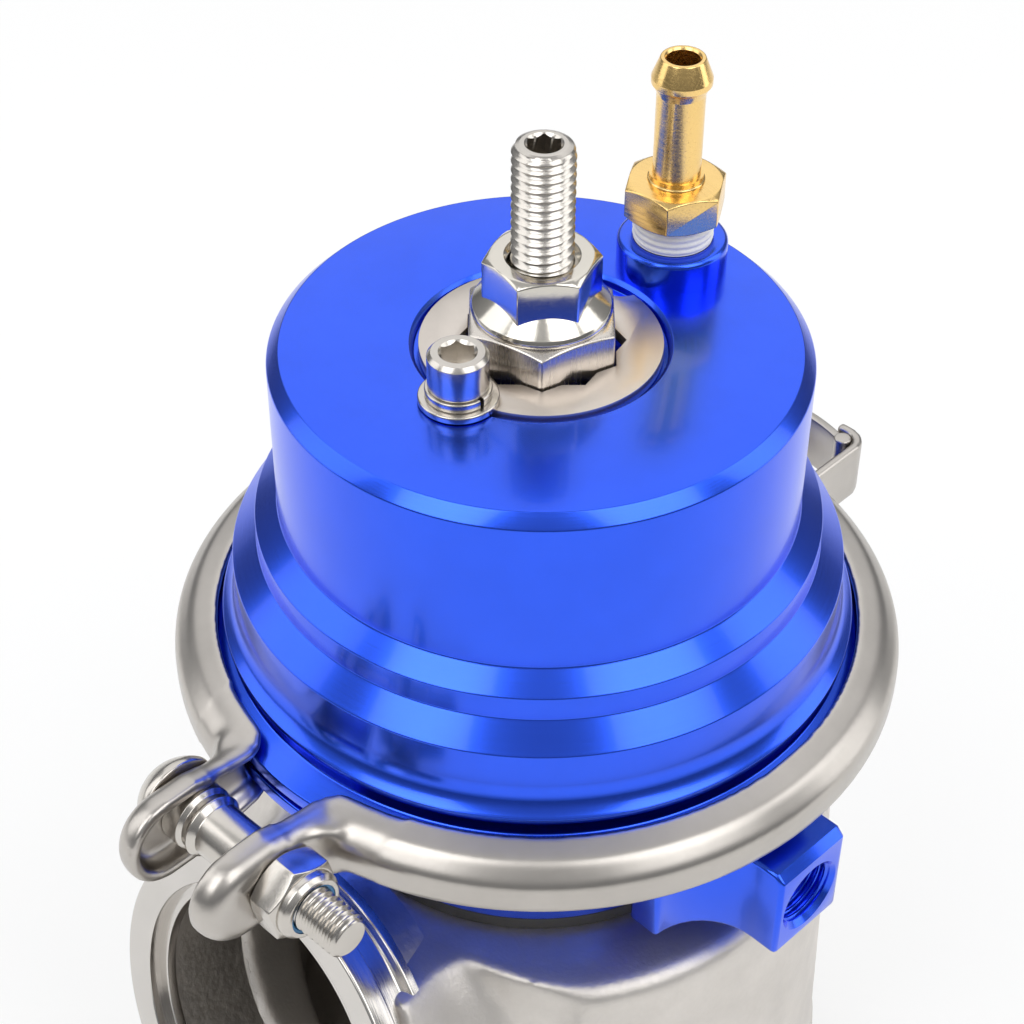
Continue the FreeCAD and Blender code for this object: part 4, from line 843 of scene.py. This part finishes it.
def makeLoop(s):
    # the band's end, turned out and rolled back over the link
    near, far = s["near"], s["top"] - s["strip"]
    x, y = near - s["bend"], far - s["bend"]
    wide = s["bend"] + s["strip"]
    c = math.cos(math.radians(45))
    inside = arc((near, y), (x + s["bend"] * c, y + s["bend"] * c), (x, far), 10)
    outside = arc((x, s["top"]), (x + wide * c, y + wide * c), (x + wide, y), 14)
    outline = ([(near, s["root"]), (near, y)] + inside + [(s["lip"], far), (s["lip"], s["top"])]
               + [(x, s["top"])] + outside + [(x + wide, s["root"])])
    return prism("loop", outline, split - s["half"], split + s["half"])


def makeLink(s):
    # a bowed strip with a pin across each end
    wide, low, high = s["pinAt"], s["offset"] - s["link"], s["offset"] + s["link"]
    outline = ([(-wide, high)] + arc((-wide, high), (0, high + s["bow"]), (wide, high), 20) + [(wide, low)]
               + arc((wide, low), (0, low + s["bow"]), (-wide, low), 20))
    strip = prism("hingeLink", outline, split - s["linkHalf"], split + s["linkHalf"])
    soften(strip, 0.3, 2, 50)
    low, high = split - s["half"], split + s["half"]
    for side in (-1, 1):
        pin = lathe("pin", [(0, low), (s["pin"], low, 0.3), (s["pin"], high, 0.3), (0, high)], steps=48)
        combine(strip, put(pin, (side * s["pinAt"], s["offset"], 0)), "UNION")
    return put(strip, degrees=bandTurn)


for side, body, node in ((1, "clamp_right", "clamp_half_right"), (-1, "clamp_left", "clamp_half_left")):
    half = makeBand(bandSize, side)
    half.name = "clampHalfRight" if side > 0 else "clampHalfLeft"
    piece(half, body, [node], bandSteel, smooth=50)
piece(makeLink(loopSize), "body", ["hinge_link"], bandSteel)

# Clamp bolt, its lock nut, the nut's insert and the spacer, along the bolt's axis from between the ears
boltSize = {"radius": 3.0, "pitch": 1.0, "depth": 0.55, "threadFrom": 4.5, "reach": 22.3, "head": 6.0,
            "headLow": -14.6, "back": -9.75}
clampNutSize = {"flat": 10.0, "low": 9.75, "hexHigh": 14.15, "top": 15.75, "collar": 4.7, "corner": 10.0,
                "bore": 3.1, "pocket": 4.03, "pocketLow": 13.9, "pocketHigh": 15.6, "lip": 3.55}
insertSize = {"bore": 3.05, "outside": 4.0, "low": 13.95, "high": 15.55}
spacerSize = {"bore": 3.05, "low": -7.95, "high": 3.8, "flange": 4.55, "neck": 4.0, "ring": 4.5, "body": 3.7}


def makeBolt(s):
    start, end = s["threadFrom"], s["reach"]
    dome = arc((0, s["headLow"]), (4.1, s["headLow"] + 1.45), (s["head"], s["back"] - 0.9), 12)
    head = lathe("clampBolt", [(0, s["headLow"])] + dome + [
        (s["head"], s["back"], 0.25), (s["radius"], s["back"]), (s["radius"], start + 0.5), (0, start + 0.5)],
                 steps=96)
    thread = threadRod("thread", s["radius"], s["depth"], s["pitch"], start, end)
    form = lathe("form", [(0, start - 1), (3.4, start - 1), (3.4, end - 1.0), (2.35, end - 0.02, 0.2),
                          (0, end - 0.02)], steps=96)
    combine(thread, form, "INTERSECT")
    return alongBolt(combine(head, thread, "UNION"))


def makeClampNut(s):
    nut = hexHead("clampLockNut", s["flat"], s["low"], s["hexHigh"], s["corner"], both=True, edge=0.12)
    top = s["top"] - 0.02
    collar = lathe("collar", [(0, s["hexHigh"] - 1), (s["collar"], s["hexHigh"] - 1),
                              (s["collar"], s["top"] - 0.75, 0.5), (4.15, top, 0.35), (3.85, top), (0, top)])
    combine(nut, collar, "UNION")
    bore = lathe("bore", [(0, s["low"] - 1), (s["bore"], s["low"] - 1), (s["bore"], s["pocketLow"]),
                          (s["pocket"], s["pocketLow"]), (s["pocket"], s["pocketHigh"]),
                          (s["lip"], s["pocketHigh"]), (s["lip"], 16.5), (0, 16.5)])
    return alongBolt(combine(nut, bore))


def makeInsert(s):
    return lathe("nylonInsert", [(s["bore"], s["low"]), (s["outside"], s["low"]),
                                 (s["outside"], s["high"], 0.2), (s["bore"], s["high"], 0.3)], ring=True)


def makeSpacer(s):
    return lathe("clampSpacer", [
        (s["bore"], s["low"]), (s["flange"], s["low"], 0.2), (s["flange"], -5.2, 0.2), (s["neck"], -4.7, 0.2),
        (s["neck"], -4.0, 0.2), (s["ring"], -3.4, 0.25), (s["body"], -2.5, 0.4), (s["body"], s["high"], 0.4),
        (s["bore"], s["high"])], ring=True)


insert = makeInsert(insertSize)
spacer = makeSpacer(spacerSize)
piece(makeBolt(boltSize), "clamp_left", ["clamp_bolt"], boltSteel, smooth=45)
piece(alongBolt(spacer), "clamp_left", ["clamp_spacer"], boltSteel)
piece(makeClampNut(clampNutSize), "clamp_nut", ["clamp_lock_nut"], boltSteel)
piece(alongBolt(insert), "clamp_insert", ["nylon_insert"], nylon)
print("clamp done")


# Floor, light and camera

studio = {"floorSize": 6.0, "paper": "F6F6F5", "glow": 0.62, "near": 0.35, "far": 1.3,
          "sky": "F4F5F7", "ground": "8A8C90", "skyStrength": 0.62,
          "lightCentre": (0, 0, 0.09)}
# each light: its name, azimuth, elevation, distance, width, height and power
lights = [("frontLeftLight", 2, 50, 1.0, 0.5, 0.7, 2.9),
          ("frontRightLight", 93, 50, 1.0, 0.55, 0.7, 2.9),
          ("leftLight", -50, 30, 0.9, 0.5, 0.9, 1.9),
          ("rightLight", 140, 25, 0.9, 0.4, 0.9, 1.9),
          ("backLight", 225, 48, 1.1, 1.5, 1.2, 4.1)]
cameraSize = {"place": (0.15715, -0.16213, 0.31765), "lens": 78.72, "sensor": 36.0, "azimuth": 45, "down": 49,
              "roll": 0.33}


def makeFloor(s):
    bpy.ops.object.select_all(action="DESELECT")
    bpy.ops.mesh.primitive_plane_add(size=s["floorSize"], location=(0, 0, -0.0002))
    floor = bpy.context.object
    floor.name = "studioFloor"
    material = bpy.data.materials.new("studioPaper")
    material.use_nodes = True
    tree = material.node_tree
    tree.nodes.remove(tree.nodes["Principled BSDF"])
    paper = add(tree, "BsdfDiffuse", {"Color": linear(s["paper"])})
    glow = add(tree, "Emission", {"Color": linear("FFFFFF"), "Strength": 1.0})
    rays = add(tree, "LightPath")
    place = add(tree, "TexCoord")
    away = add(tree, "VectorMath", {"operation": "LENGTH"}, {0: place.outputs["Object"]})
    # the paper fades to white round the object
    white = add(tree, "MapRange",
                {"From Min": s["near"], "From Max": s["far"], "To Min": s["glow"], "To Max": 1.0},
                {"Value": away.outputs["Value"]})
    share = add(tree, "Math", {"operation": "MULTIPLY"},
                {0: rays.outputs["Is Camera Ray"], 1: white.outputs["Result"]})
    mix = add(tree, "MixShader", {},
              {0: share.outputs["Value"], 1: paper.outputs["BSDF"], 2: glow.outputs["Emission"]})
    tree.links.new(mix.outputs["Shader"], tree.nodes["Material Output"].inputs["Surface"])
    floor.data.materials.append(material)


def makeWorld(s):
    # a soft sky for the reflections, plain white for the camera
    world = bpy.data.worlds.new("studioWorld")
    bpy.context.scene.world = world
    world.use_nodes = True
    tree = world.node_tree
    back = tree.nodes["Background"]
    place = add(tree, "TexCoord")
    parts = add(tree, "SeparateXYZ", {}, {"Vector": place.outputs["Generated"]})
    ramp = add(tree, "ValToRGB", {}, {"Fac": parts.outputs["Z"]})
    low, high = ramp.color_ramp.elements
    low.position, low.color = 0.0, linear(s["ground"])
    high.position, high.color = 0.9, linear(s["sky"])
    white = add(tree, "Background", {"Color": linear("FFFFFF"), "Strength": 1.0})
    back.inputs["Strength"].default_value = s["skyStrength"]
    tree.links.new(ramp.outputs["Color"], back.inputs["Color"])
    rays = add(tree, "LightPath")
    mix = add(tree, "MixShader", {}, {0: rays.outputs["Is Camera Ray"], 1: back.outputs["Background"],
                                      2: white.outputs["Background"]})
    tree.links.new(mix.outputs["Shader"], tree.nodes["World Output"].inputs["Surface"])


def softbox(name, azimuth, elevation, distance, width, height, power):
    # aimed at the middle of the object; azimuth and elevation as for the camera, in degrees
    a, e = math.radians(azimuth), math.radians(elevation)
    back = Vector((math.sin(a) * math.cos(e), -math.cos(a) * math.cos(e), math.sin(e)))
    light = bpy.data.lights.new(name, "AREA")
    light.shape = "RECTANGLE"
    light.size, light.size_y = width, height
    light.energy = power
    lamp = bpy.data.objects.new(name, light)
    bpy.context.scene.collection.objects.link(lamp)
    lamp.location = Vector(studio["lightCentre"]) + back * distance
    lamp.rotation_mode = "QUATERNION"
    lamp.rotation_quaternion = back.to_track_quat("Z", "Y")


def makeCamera(s):
    camera = bpy.data.objects.new("camera", bpy.data.cameras.new("camera"))
    bpy.context.scene.collection.objects.link(camera)
    camera.location = s["place"]
    camera.data.lens = s["lens"]
    camera.data.sensor_width = s["sensor"]
    camera.data.clip_start = 0.01
    camera.rotation_mode = "QUATERNION"
    turn = (Quaternion((0, 0, 1), math.radians(s["azimuth"])) @ Quaternion((1, 0, 0), math.radians(s["down"]))
            @ Quaternion((0, 0, 1), math.radians(s["roll"])))
    camera.rotation_quaternion = turn
    bpy.context.scene.camera = camera


makeFloor(studio)
makeWorld(studio)
for light in lights:
    softbox(*light)
makeCamera(cameraSize)
bpy.context.scene.view_settings.view_transform = "Standard"
print("studio done")
